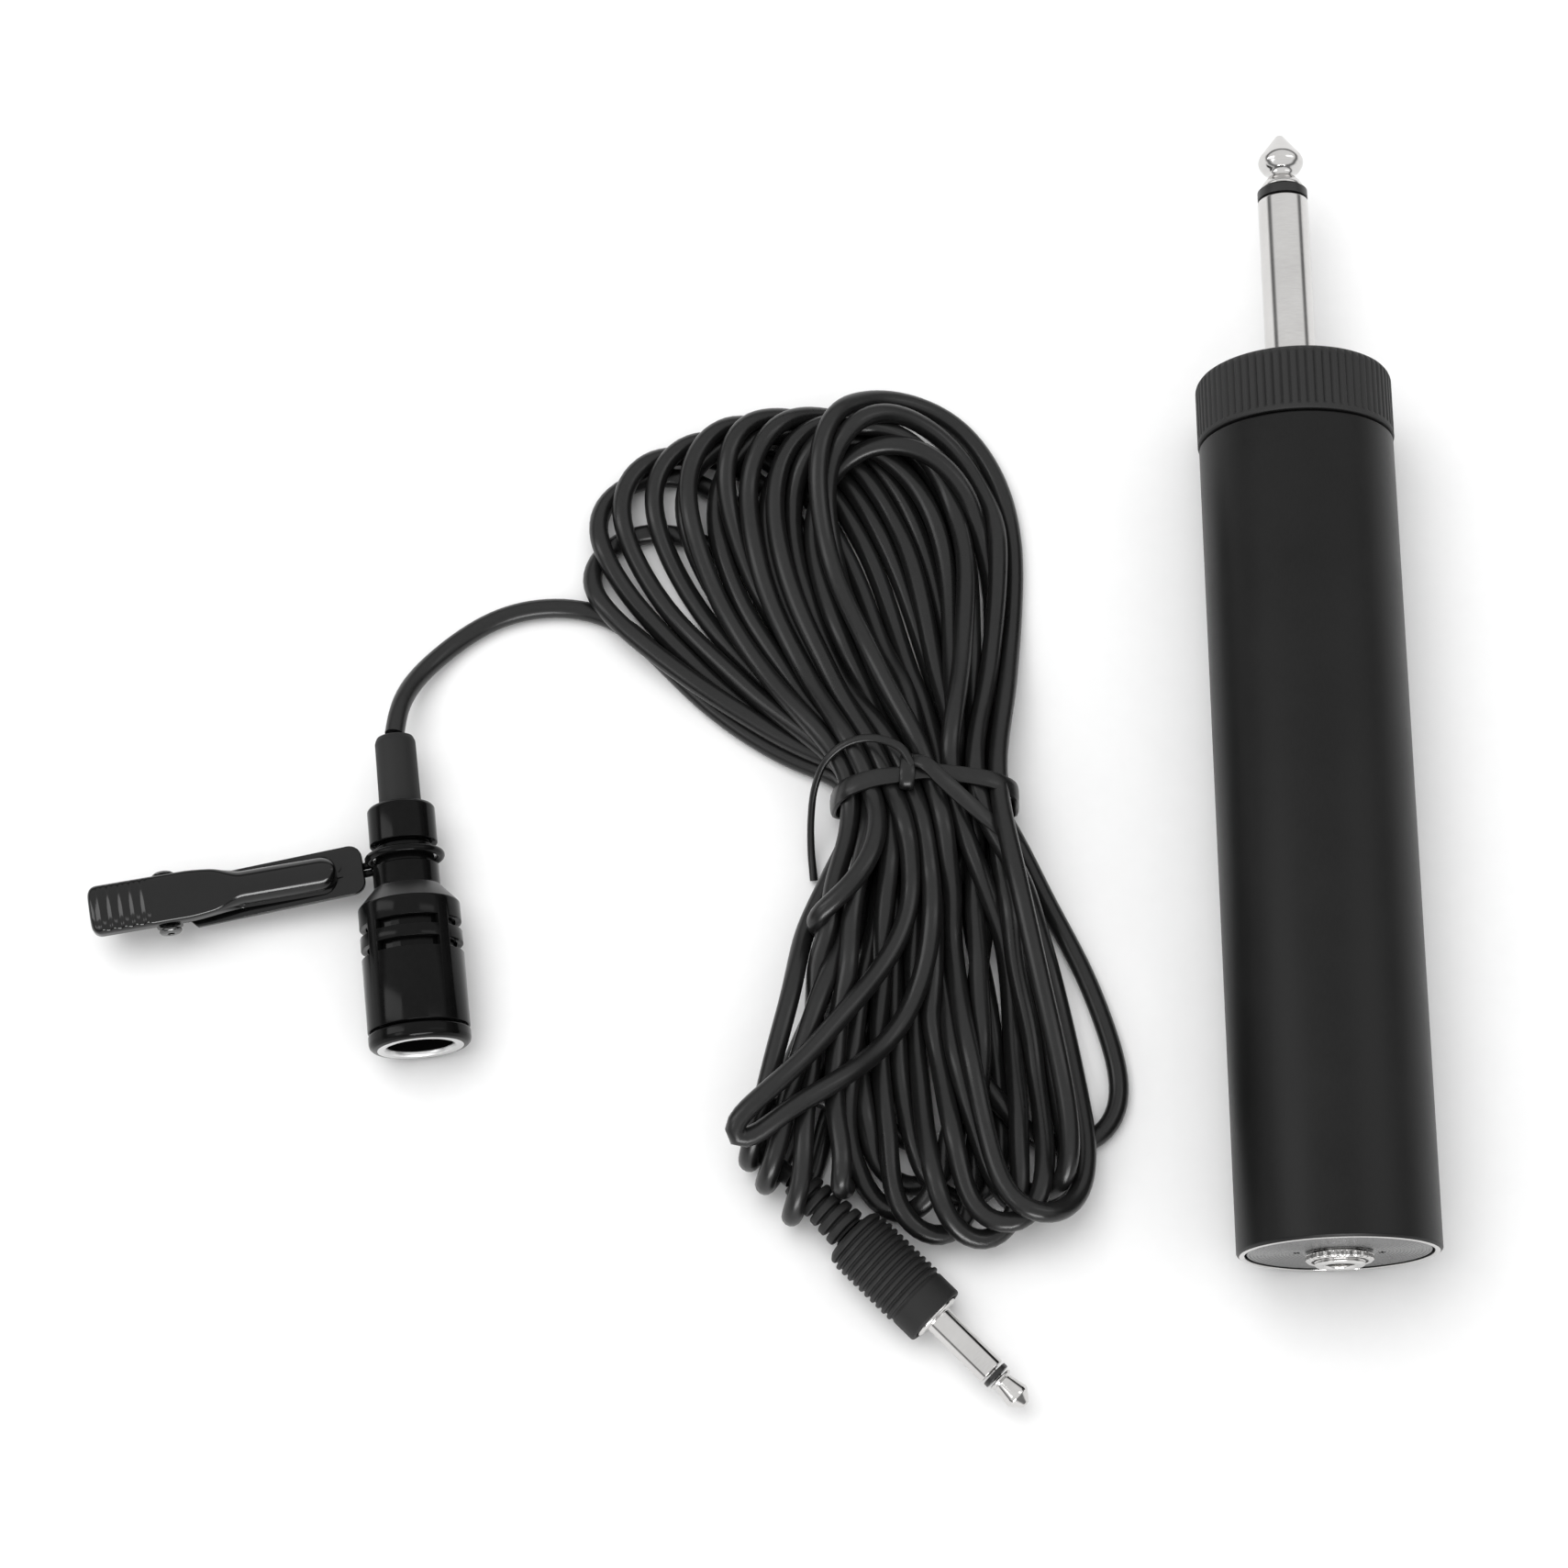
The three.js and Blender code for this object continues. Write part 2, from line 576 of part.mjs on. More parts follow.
// Small pieces between the jack and the cell.
function buildAdapterElectronics(adapter) {
  const jack = { r: 4.6, boreR: 2.1, start: 5.3, boreEnd: 14.6, end: 16.0 };
  const board = { halfWidth: 7.0, start: 20.5, end: 41.0, halfThickness: 0.8 };
  addPart(adapter, 'jack_bush', jackBush(), FINISH.nickel);
  addPart(adapter, 'jack_nut', turned(ringProfile(4.0, 3.3, -0.9, -0.1), 32), FINISH.nickel);
  addPart(adapter, 'jack_body', turned([
    [jack.boreR, jack.start], [jack.r, jack.start], [jack.r, jack.end], [0, jack.end],
    [0, jack.boreEnd], [jack.boreR, jack.boreEnd], [jack.boreR, jack.start],
  ], 24), FINISH.blackPlastic);
  addPart(adapter, 'jack_contact',
    box(jack.r + 0.4, jack.r + 0.8, 6.5, board.start - 0.5, -1.2, 1.2), FINISH.brass);
  addPart(adapter, 'circuit_board', box(-board.halfWidth, board.halfWidth, board.start, board.end,
    -board.halfThickness, board.halfThickness), FINISH.board);
  const onBoard = board.halfThickness + GAP;
  addPart(adapter, 'coupling_capacitor', rodZ(2.5, onBoard, onBoard + 6, -2.5, 30), FINISH.blackPlastic);
  addPart(adapter, 'bias_resistor', rodY(1.2, 26, 32, 3.6, onBoard + 1.3, 12), FINISH.ivoryPlastic);
  addPart(adapter, 'spring_plate', turned(discProfile(10.0, 42.4, 43.3), 32), FINISH.blackPlastic);
  addPart(adapter, 'contact_spring', contactSpring(), FINISH.nickel);
}

// Conical wire spring that bears on the cell's flat end.
function contactSpring() {
  const wireR = 0.4;
  const turns = 3;
  const steps = 10 * turns;
  const wide = 5.2;
  const narrow = 3.0;
  const start = 44.1;
  const rise = 3.0;
  const coil = [];
  for (let i = 0; i <= steps; i += 1) {
    const t = i / steps;
    const angle = 2 * Math.PI * turns * t;
    const r = wide + (narrow - wide) * t;
    coil.push([r * Math.cos(angle), start + rise * t, r * Math.sin(angle)]);
  }
  return tubeAlong(coil, wireR, steps, 6);
}

function buildCell(adapter) {
  const jacketEnd = CELL_START + CELL_LENGTH - GAP;
  addPart(adapter, 'battery_sleeve',
    turned(ringProfile(LINER.r, LINER.boreR, LINER.start, LINER.end), 40), FINISH.ivoryPlastic);
  addPart(adapter, 'battery_cell', turned(discProfile(CELL_R, CELL_START, jacketEnd), 40), FINISH.cellJacket);
  const button = discProfile(2.75, jacketEnd + GAP, jacketEnd + GAP + 1.0);
  addPart(adapter, 'battery_terminal', turned(button, 20), FINISH.nickel);
}

function screwCap() {
  const holeR = PLUG_STEM_R + GAP;
  const spigotR = TUBE_BORE_R - GAP;
  const undercutR = SEAL.r - GAP;
  const spigotStart = 95.3;
  const threadEnd = 99.4;
  const spigotBoreR = 8.0;
  return turned([
    [spigotBoreR, spigotStart], [spigotR, spigotStart], [spigotR, threadEnd], [undercutR, threadEnd],
    [undercutR, CAP_START], [CAP_R, CAP_START], [CAP_R, CAP_FRONT - 1.1], [CAP_R - 0.35, CAP_FRONT - 0.4],
    [CAP_R - 1.1, CAP_FRONT], [holeR, CAP_FRONT], [holeR, CAP_WALL], [spigotBoreR, CAP_WALL],
    [spigotBoreR, spigotStart],
  ], 64);
}

// Hexagonal nut that clamps the big plug's stem to the cap's front wall.
function plugNut() {
  const hexagon = turned(discProfile(6.2, CAP_WALL - 3.3, CAP_WALL - GAP), 6);
  return cut(hexagon, rodY(PLUG_STEM_R + GAP, CAP_WALL - 4, CAP_WALL, 0, 0, 32));
}

function bigPlugSleeve() {
  const collarR = 4.75;
  const collarStart = CAP_FRONT + GAP;
  const boreR = 1.7;
  const stemStart = CAP_WALL - 4;
  const sleeveEnd = TIP_END - 9.3;
  return turned([
    [boreR, stemStart], [PLUG_STEM_R, stemStart], [PLUG_STEM_R, collarStart], [collarR, collarStart],
    [collarR, SHOULDER], [BIG_PLUG_R, SHOULDER], [BIG_PLUG_R, sleeveEnd], [boreR, sleeveEnd],
    [boreR, stemStart],
  ], 40);
}

// Ball-and-cone tip with its long rod, which ends in a contact button facing the cell.
function bigPlugTip() {
  const rodR = 1.2;
  const at = (fromEnd) => TIP_END - fromEnd;
  return turned([
    [0, 100.9], [2.5, 100.9], [2.5, 102.5], [rodR, 102.5], [rodR, at(7.5)], [2.7, at(7.5)], [2.7, at(7.2)],
    [2.2, at(6.4)], [1.75, at(6.0)], [1.75, at(5.4)], [2.35, at(4.9)], [2.8, at(4.2)], [2.9, at(3.6)],
    [2.7, at(3.0)], [0.55, at(0.15)], [0.4, TIP_END], [0, TIP_END],
  ], 32);
}

function buildAdapter() {
  const adapter = new THREE.Group();
  adapter.position.set(ADAPTER_X, ADAPTER_END_Y, CAP_R);
  addPart(adapter, 'adapter_tube', adapterTube(), FINISH.blackAnodised);
  addPart(adapter, 'end_disc', endDisc(), FINISH.turnedAluminium);
  buildAdapterElectronics(adapter);
  buildCell(adapter);
  addPart(adapter, 'cap_seal',
    turned(ringProfile(SEAL.outR, SEAL.r, SEAL.start, SEAL.end), 40), FINISH.blackRubber);
  addPart(adapter, 'screw_cap', screwCap(), FINISH.blackAnodised);
  addPart(adapter, 'plug_nut', plugNut(), FINISH.nickel);
  addPart(adapter, 'big_plug_sleeve', bigPlugSleeve(), FINISH.nickel);
  addPart(adapter, 'big_plug_insulator',
    turned(ringProfile(BIG_PLUG_R, 1.5, TIP_END - 9.0, TIP_END - 7.8), 40), FINISH.blackPlastic);
  addPart(adapter, 'big_plug_tip', bigPlugTip(), FINISH.nickel);
  return adapter;
}

// ---------------------------------------------------------------- the kit

const group = new THREE.Group();
group.add(buildHead(), buildCord(), buildSmallPlug(), buildAdapter());

export default group;
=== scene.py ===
from math import copysign, cos, hypot, pi, radians, sin, sqrt

import bmesh
import bpy
import numpy as np
from mathutils import Matrix, Vector
from numpy.linalg import norm


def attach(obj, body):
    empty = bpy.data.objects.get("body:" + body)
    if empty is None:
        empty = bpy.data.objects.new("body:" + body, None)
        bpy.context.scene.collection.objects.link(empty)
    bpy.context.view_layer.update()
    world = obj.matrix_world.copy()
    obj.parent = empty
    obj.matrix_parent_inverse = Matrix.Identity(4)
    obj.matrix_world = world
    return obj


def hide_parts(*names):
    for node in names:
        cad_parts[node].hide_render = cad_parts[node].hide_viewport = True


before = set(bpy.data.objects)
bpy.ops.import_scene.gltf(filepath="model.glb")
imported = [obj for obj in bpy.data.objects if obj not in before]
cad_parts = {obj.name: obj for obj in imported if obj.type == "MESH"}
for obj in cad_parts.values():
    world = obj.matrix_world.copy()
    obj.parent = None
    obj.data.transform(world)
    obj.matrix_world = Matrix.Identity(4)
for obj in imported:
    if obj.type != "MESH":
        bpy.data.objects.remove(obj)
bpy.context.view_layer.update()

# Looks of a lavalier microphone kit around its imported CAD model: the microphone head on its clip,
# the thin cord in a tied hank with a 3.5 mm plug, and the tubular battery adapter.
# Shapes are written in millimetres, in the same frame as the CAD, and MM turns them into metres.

MM = 0.001


# ---- where the assemblies lie

def shift(x, y, z):
    return Matrix.Translation(Vector((x, y, z)) * MM)


def spin(degrees, axis):
    return Matrix.Rotation(radians(degrees), 4, axis)


HEAD = shift(-39.6, -43.9, 6.2) @ spin(5.65, "Z")  # +Y runs from the front face to the cord
CLIP = HEAD @ shift(0, 23.95, 0) @ spin(-5, "Y")  # origin on the neck's axis, -X to the finger pad
PLATES = CLIP @ spin(4.5, "Z")
PIVOT = PLATES @ shift(-29.4, 0, 1.6)
LEVER = PIVOT @ spin(7, "Y")
PLUG = shift(11.84, -66.62, 4.225) @ spin(-135.4, "Z")  # +Y runs from the boot's back to the tip
ADAPTER = shift(68.6, -71.1, 12.15)  # +Y runs from the jack end to the big plug
WORLD = Matrix.Identity(4)


# ---- materials

COAT_ROUGHNESS = 0.12
GRAIN_SHARE = 0.45  # how much of a finish's tone comes from its fine grain
TONE_STOPS = (0.34, 0.66)  # where in the noise the dark tone ends and the light one starts
GLOSS_STOPS = (0.3, 0.7)
GRAIN_HEIGHT = 0.00005  # metres, like every height of a bump
WEAVE_STRENGTH = 0.9
WEAVE_HEIGHT = 0.0002


def node(tree, kind, **settings):
    made = tree.nodes.new(kind)
    for key, value in settings.items():
        if hasattr(made, key):
            setattr(made, key, value)
        else:
            made.inputs[key.replace("_", " ")].default_value = value
    return made


def join(start, output, end, socket):
    start.id_data.links.new(start.outputs[output], end.inputs[socket])


def grey(value, warmth=0.0):
    return (value * (1 + warmth), value, value * (1 - warmth))


def finish(name, dark, light, rough, metallic=0.0, specular=0.5, grain=(2500.0, 0.04),
           blotch=90.0, coat=0.0, stretch=(1, 1, 1)):
    """A procedural finish: broad blotches vary tone and gloss, and a fine grain lifts the surface.

    Tones are colours, or single numbers for greys. The grain is its scale and its strength.
    """
    colours = [grey(tone) if isinstance(tone, float) else tone for tone in (dark, light)]
    made = bpy.data.materials.new(name)
    made.use_nodes = True
    tree = made.node_tree
    tree.nodes.clear()
    out = node(tree, "ShaderNodeOutputMaterial")
    shader = node(tree, "ShaderNodeBsdfPrincipled", Metallic=metallic, Specular_IOR_Level=specular,
                  Coat_Weight=coat, Coat_Roughness=COAT_ROUGHNESS)
    join(shader, "BSDF", out, "Surface")
    place = node(tree, "ShaderNodeTexCoord")
    scaled = node(tree, "ShaderNodeMapping", Scale=stretch)
    join(place, "Object", scaled, "Vector")
    broad = node(tree, "ShaderNodeTexNoise", Scale=blotch, Detail=4.0, Roughness=0.6)
    fine = node(tree, "ShaderNodeTexNoise", Scale=grain[0], Detail=3.0, Roughness=0.65)
    join(place, "Object", broad, "Vector")
    join(scaled, "Vector", fine, "Vector")
    both = node(tree, "ShaderNodeMix", data_type="FLOAT", Factor=GRAIN_SHARE)
    join(broad, "Fac", both, "A")
    join(fine, "Fac", both, "B")
    tone = node(tree, "ShaderNodeValToRGB")
    for stop, position, colour in zip(tone.color_ramp.elements, TONE_STOPS, colours):
        stop.position = position
        stop.color = (*colour, 1)
    join(both, "Result", tone, "Fac")
    join(tone, "Color", shader, "Base Color")
    gloss = node(tree, "ShaderNodeMapRange", From_Min=GLOSS_STOPS[0], From_Max=GLOSS_STOPS[1],
                 To_Min=rough[0], To_Max=rough[1])
    join(both, "Result", gloss, "Value")
    join(gloss, "Result", shader, "Roughness")
    bump = node(tree, "ShaderNodeBump", Strength=grain[1], Distance=GRAIN_HEIGHT)
    join(fine, "Fac", bump, "Height")
    join(bump, "Normal", shader, "Normal")
    return made


def add_weave(made, threads):
    """Crossed wires of a gauze, as height."""
    tree = made.node_tree
    place = next(n for n in tree.nodes if n.type == "TEX_COORD")
    bump = next(n for n in tree.nodes if n.type == "BUMP")
    top = node(tree, "ShaderNodeMath", operation="MAXIMUM")
    for socket, direction in enumerate(("X", "Z")):
        wave = node(tree, "ShaderNodeTexWave", bands_direction=direction, Scale=threads)
        join(place, "Object", wave, "Vector")
        join(wave, "Fac", top, socket)
    join(top, "Value", bump, "Height")
    bump.inputs["Strength"].default_value = WEAVE_STRENGTH
    bump.inputs["Distance"].default_value = WEAVE_HEIGHT


LOOKS = {
    "gloss_black_metal": finish("gloss_black_paint", 0.003, 0.005, (0.10, 0.18),
                                specular=0.09, grain=(1400, 0.03), coat=0.02),
    "satin_black_metal": finish("satin_black_anodised", 0.0045, 0.0075, (0.36, 0.46),
                                specular=0.2, grain=(5200, 0.10), stretch=(1, 0.25, 1)),
    "black_rubber": finish("black_rubber_moulded", 0.009, 0.015, (0.5, 0.68),
                           specular=0.3, grain=(3600, 0.16)),
    "cord_pvc": finish("cord_pvc_soft_black", 0.0065, 0.0105, (0.25, 0.35),
                       specular=0.36, grain=(1800, 0.05), blotch=60),
    "black_plastic": finish("black_plastic_moulded", 0.008, 0.013, (0.3, 0.42), grain=(2600, 0.06)),
    "nickel": finish("nickel_plate", grey(0.54, 0.015), grey(0.66, 0.015), (0.07, 0.17), metallic=1.0,
                     grain=(2200, 0.03), stretch=(0.3, 6, 0.3)),
    "spring_steel": finish("spring_steel_wire", 0.38, 0.55, (0.16, 0.28), metallic=1.0, grain=(3000, 0.05)),
    "turned_aluminium": finish("turned_aluminium", 0.13, 0.20, (0.22, 0.34), metallic=1.0,
                               grain=(4200, 0.08)),
    "dark_gauze": finish("dark_wire_gauze", 0.02, 0.05, (0.35, 0.5), metallic=0.8),
    "dark_foam": finish("dark_open_foam", 0.008, 0.02, (0.85, 0.98), grain=(2600, 0.8)),
    "green_board": finish("green_solder_mask", (0.008, 0.09, 0.03), (0.012, 0.13, 0.045), (0.3, 0.42),
                          grain=(1500, 0.1)),
    "brass": finish("brass_leaf", (0.46, 0.31, 0.11), (0.60, 0.42, 0.16), (0.2, 0.32), metallic=1.0),
    "ivory_plastic": finish("ivory_plastic", (0.60, 0.57, 0.47), (0.68, 0.65, 0.55), (0.38, 0.5)),
    "cell_jacket": finish("cell_jacket_film", (0.020, 0.035, 0.06), (0.028, 0.048, 0.08), (0.22, 0.34),
                          metallic=0.2, coat=0.4),
}
add_weave(LOOKS["dark_gauze"], 900.0)
CONE_LOOK = finish("gloss_black_turned", 0.010, 0.016, (0.25, 0.36), specular=0.5,
                   grain=(2400, 0.05), stretch=(0.5, 8, 0.5))
CLIP_LOOK = finish("gloss_black_pressed", 0.003, 0.005, (0.09, 0.16), specular=0.36, grain=(1400, 0.03))
# A bright metal used as a painted reflection: the black gloss rim face mirrors the white table at a grazing
# angle, and this finish paints that in.
PAINTED_RIM_REFLECTION = finish("painted_rim_reflection", 0.62, 0.72, (0.30, 0.40), metallic=1.0, grain=(3000, 0.03))
RIVET_LOOK = finish("blackened_steel", 0.07, 0.14, (0.10, 0.20), metallic=1.0, grain=(3000, 0.05))
KNURL_LOOK = finish("matte_black_knurled", 0.012, 0.018, (0.55, 0.7), specular=0.4, grain=(5200, 0.12))


# ---- mesh helpers

def shade(mesh, angle):
    for face in mesh.polygons:
        face.use_smooth = True
    mesh.set_sharp_from_angle(angle=radians(angle))


SHARP = 38  # degrees between two faces that still shade as one surface
WELD = 1e-7  # metres within which points are one
NO_AREA = 1e-8


def add(name, data):
    obj = bpy.data.objects.new(name, data)
    bpy.context.collection.objects.link(obj)
    return obj


def make(name, verts, faces, matrix, sharp=SHARP):
    """A mesh object from points in millimetres of a local frame, with its faces turned outwards."""
    mesh = bpy.data.meshes.new(name)
    mesh.from_pydata([Vector(v) * MM for v in verts], [], faces)
    work = bmesh.new()
    work.from_mesh(mesh)
    bmesh.ops.remove_doubles(work, verts=work.verts, dist=WELD)
    bmesh.ops.dissolve_degenerate(work, edges=work.edges, dist=NO_AREA)
    bmesh.ops.recalc_face_normals(work, faces=work.faces)
    work.to_mesh(mesh)
    work.free()
    shade(mesh, sharp)
    obj = add(name, mesh)
    obj.matrix_world = matrix
    return obj


def settle(obj, body, look, *nodes):
    """Gives a piece its finish and body, and hides the CAD nodes it stands for."""
    if not obj.data.materials:
        obj.data.materials.append(LOOKS[look])
    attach(obj, body)
    if nodes:
        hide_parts(*nodes)


def dress(obj, *finishes):
    obj.data.materials.clear()
    for made in finishes:
        obj.data.materials.append(made)


def paint(obj, base, other, where):
    """Gives a piece one finish, and another to the faces whose height and radius pass a test."""
    dress(obj, base, other)
    for face in obj.data.polygons:
        middle = face.center / MM
        if where(middle.y, hypot(middle.x, middle.z)):
            face.material_index = 1


TINY = 1e-6


def rounded(profile, radius, closed=True, steps=4):
    """The profile with a small curve in place of each corner."""
    points = [Vector(p) for p in profile]
    count = len(points)
    made = []
    for i, corner in enumerate(points):
        if not closed and i in (0, count - 1):
            made.append(tuple(corner))
            continue
        before = points[i - 1] - corner
        after = points[(i + 1) % count] - corner
        if before.length < TINY or after.length < TINY:
            made.append(tuple(corner))
            continue
        reach = min(radius, 0.45 * before.length, 0.45 * after.length)
        start = corner + before.normalized() * reach
        end = corner + after.normalized() * reach
        for k in range(steps + 1):
            t = k / steps
            made.append(tuple((1 - t) ** 2 * start + 2 * t * (1 - t) * corner + t * t * end))
    return made


def lathe(name, profile, matrix, segments=96, closed=True, dent=None, round_by=0.12, sharp=SHARP):
    """A body of revolution about local Y. The profile holds [radius, y]; an open one ends on the axis."""
    rows = rounded(profile, round_by, closed)
    verts = []
    rings = []
    for r, y in rows:
        if r < TINY:
            rings.append([len(verts)] * segments)
            verts.append((0, y, 0))
            continue
        rings.append(list(range(len(verts), len(verts) + segments)))
        for k in range(segments):
            angle = 2 * pi * k / segments
            radius = r if dent is None else dent(r, y, angle)
            verts.append((radius * cos(angle), y, radius * sin(angle)))
    faces = []
    pairs = list(zip(rings, rings[1:]))
    if closed:
        pairs.append((rings[-1], rings[0]))
    for low, high in pairs:
        for k in range(segments):
            n = (k + 1) % segments
            corner = [low[k], low[n], high[n], high[k]]
            face = [v for i, v in enumerate(corner) if v != corner[i - 1]]
            if len(face) > 2:
                faces.append(face)
    return make(name, verts, faces, matrix, sharp)


def turned(name, body, look, stands_for, profile, matrix, **how):
    """A lathed piece with its finish and body."""
    obj = lathe(name, profile, matrix, **how)
    settle(obj, body, look, stands_for)
    return obj


def disc_profile(radius, y0, y1):
    return [(0, y0), (radius, y0), (radius, y1), (0, y1)]


def ring_profile(outer, inner, y0, y1):
    return [(inner, y0), (outer, y0), (outer, y1), (inner, y1)]


def prism(name, outline, z0, z1, matrix):
    count = len(outline)
    verts = [(x, y, z) for z in (z0, z1) for x, y in outline]
    faces = [list(range(count))[::-1], list(range(count, 2 * count))]
    for i in range(count):
        n = (i + 1) % count
        faces.append([i, n, count + n, count + i])
    return make(name, verts, faces, matrix)


def arc(cx, cy, radius, start, end, steps=8):
    angles = [radians(start + (end - start) * k / steps) for k in range(steps + 1)]
    return [(cx + radius * cos(a), cy + radius * sin(a)) for a in angles]


def bake(obj, sharp=SHARP):
    """Puts an object's modifiers into its own mesh."""
    bpy.context.view_layer.update()
    done = bpy.data.meshes.new_from_object(obj.evaluated_get(bpy.context.evaluated_depsgraph_get()))
    obj.modifiers.clear()
    obj.data = done
    shade(done, sharp)


def carve(obj, *cutters):
    for cutter in cutters:
        change = obj.modifiers.new("cut", "BOOLEAN")
        change.operation = "DIFFERENCE"
        change.solver = "EXACT"
        change.object = cutter
        bake(obj)
        bpy.data.objects.remove(cutter)


BEVEL_SHARP = 45
MERGED_SHARP = 40


def soften(obj, width, angle=30, segments=3):
    """Small rounded edges, put into the mesh."""
    change = obj.modifiers.new("edges", "BEVEL")
    change.width = width * MM
    change.segments = segments
    change.limit_method = "ANGLE"
    change.angle_limit = radians(angle)
    bake(obj, BEVEL_SHARP)


def merge(name, *objs):
    """Joins objects that share a frame into the first one."""
    work = bmesh.new()
    base = objs[0]
    for obj in objs:
        copy = obj.data.copy()
        copy.transform(base.matrix_world.inverted() @ obj.matrix_world)
        work.from_mesh(copy)
        bpy.data.meshes.remove(copy)
    work.to_mesh(base.data)
    work.free()
    for obj in objs[1:]:
        bpy.data.objects.remove(obj)
    base.name = name
    shade(base.data, MERGED_SHARP)
    return base


# ---- curves through points

SAMPLE = 0.3  # millimetres between samples of a curve, before it is evened out


def through(points, step):
    """Points every step along the centripetal Catmull-Rom curve through the given ones."""
    def gap(start, end):
        return max(norm(end[:3] - start[:3]), TINY) ** 0.5

    def mix(start, end, t, low, high):
        return (high - t) / (high - low) * start + (t - low) / (high - low) * end

    p = np.array(points, float)
    p = np.vstack([2 * p[0] - p[1], p, 2 * p[-1] - p[-2]])
    parts = []
    for a, b, c, d in zip(p[:-3], p[1:-2], p[2:-1], p[3:]):
        t0 = 0.0
        t1 = t0 + gap(a, b)
        t2 = t1 + gap(b, c)
        t3 = t2 + gap(c, d)
        count = max(2, int(norm(c[:3] - b[:3]) / SAMPLE))
        t = np.linspace(t1, t2, count, endpoint=False)[:, None]
        a1, a2, a3 = mix(a, b, t, t0, t1), mix(b, c, t, t1, t2), mix(c, d, t, t2, t3)
        b1, b2 = mix(a1, a2, t, t0, t2), mix(a2, a3, t, t1, t3)
        parts.append(mix(b1, b2, t, t1, t2))
    dense = np.vstack(parts + [p[-2][None]])
    along = np.r_[0, np.cumsum(norm(np.diff(dense[:, :3], axis=0), axis=1))]
    wanted = np.linspace(0, along[-1], int(round(along[-1] / step)) + 1)
    return np.column_stack([np.interp(wanted, along, dense[:, k]) for k in range(dense.shape[1])])


BAND_SHARP = 60


def band(name, points, matrix, step=0.4, sides=14, closed=False, squareness=0.75):
    """A flat strip. Each point is x, y, z, width, thickness and the direction its flat face looks."""
    if closed:
        points = [*points, points[0]]
    rows = through(points, step)
    centre = rows[:, :3]
    along = np.gradient(centre, axis=0)
    if closed:
        along[0] = along[-1] = centre[1] - centre[-2]
        rows, centre, along = rows[:-1], centre[:-1], along[:-1]
    along /= norm(along, axis=1)[:, None]
    face = rows[:, 5:8]
    face = face - (face * along).sum(1)[:, None] * along
    face /= norm(face, axis=1)[:, None]
    across = np.cross(along, face)
    verts = []
    for i, point in enumerate(centre):
        width, thickness = rows[i, 3:5]
        for k in range(sides):
            angle = 2 * pi * k / sides
            u = copysign(abs(cos(angle)) ** squareness, cos(angle)) * width / 2
            v = copysign(abs(sin(angle)) ** squareness, sin(angle)) * thickness / 2
            verts.append(tuple(point + across[i] * u + face[i] * v))
    count = len(centre)
    faces = []
    for i in range(count if closed else count - 1):
        n = (i + 1) % count
        for k in range(sides):
            m = (k + 1) % sides
            faces.append([i * sides + k, i * sides + m, n * sides + m, n * sides + k])
    if not closed:
        faces += [list(range(sides)), list(range((count - 1) * sides, count * sides))]
    return make(name, verts, faces, matrix, BAND_SHARP)


# ---- camera

# The photo looks down from 73 degrees above the table. Lengths are metres, lens and sensor millimetres.
LENS = 87.0
SENSOR = 36.0
CLIP_START = 0.01
CAMERA_PLACE = (0.00295, -0.14715, 0.4510)
CAMERA_TILT = radians(17.0)
CAMERA_YAW = -0.0108

camera_data = bpy.data.cameras.new("camera")
camera_data.lens = LENS
camera_data.sensor_width = SENSOR
camera_data.clip_start = CLIP_START
camera = add("camera", camera_data)
camera.location = CAMERA_PLACE
camera.rotation_euler = (CAMERA_TILT, 0, CAMERA_YAW)
bpy.context.scene.camera = camera


# ---- the cord and its hank

CORD_D = 2.45
CORD_R = CORD_D / 2
WAIST = np.array([21.8, -12.2])  # where the tie gathers the hank

# The cord drops from the sleeve to the table, curves round, and runs under the hank to its waist.
LEAD_ROUTE = [
    (-43.5, -4.2, 6.2), (-43.3, -1.6, 5.8), (-42.6, 1.3, 4.4), (-41.1, 4.4, 2.7),
    (-39.2, 6.9, 1.6), (-37.1, 9.1, 1.25), (-34.5, 11.1, 1.25), (-31.9, 12.7, 1.25),
    (-29.5, 13.7, 1.25), (-27.1, 14.2, 1.25), (-24.9, 14.5, 1.25), (-22.9, 14.5, 1.25),
    (-21, 14.3, 1.25), (-18.2, 13.6, 1.25),
    (-12, 8.9, 1.25), (-6.3, 2, 1.25), (1.2, -3.5, 1.25), (6.6, -6.5, 1.5),
]
# The last strand comes down the right side, turns under the lower loops and into the plug's relief.
TAIL_ROUTE = [
    (31.4, -22, 12), (34, -36, 12.5), (36.6, -50, 11.5), (37.4, -57.5, 9.2), (36.2, -62.2, 6.2),
    (32, -62.9, 3.2), (26, -59.5, 1.6), (18, -55, 1.3), (10, -51, 1.3), (4.2, -48.8, 1.3),
    (0.4, -49.8, 1.35), (-0.7, -52.8, 1.9), (1, -56.4, 3.1), (4.9, -59.9, 4.225),
]

ROWS = (2.3, 4.45, 6.6, 8.75)  # heights of the strands in the tie, one row on another
COLUMN = 12.6
PITCH = 2.45


def slot_at(column, row):
    return (COLUMN + PITCH * column, WAIST[1], ROWS[row])


# For each turn, its left and right places in the tie, as column and row.
LEFT_SLOTS = [slot_at(*s) for s in (
    (0, 0), (2, 0), (1, 0), (0.5, 1), (1.5, 1), (3, 0), (0, 2), (1, 2), (2.5, 1), (0.9, 3), (2, 2),
    (1.9, 3), (3, 2), (4, 2), (3.9, 3))]
RIGHT_SLOTS = [slot_at(*s) for s in (
    (7, 0), (5, 0), (4, 0), (3.5, 1), (4.5, 1), (6, 0), (5.5, 1), (6.5, 1), (7.5, 1), (5, 2), (6, 2),
    (4.9, 3), (7, 2), (5.9, 3), (7.1, 3))]
SWEEP = 11  # the turn after which the cord runs the other way round
SWEEP_BACK = slot_at(2.9, 3)
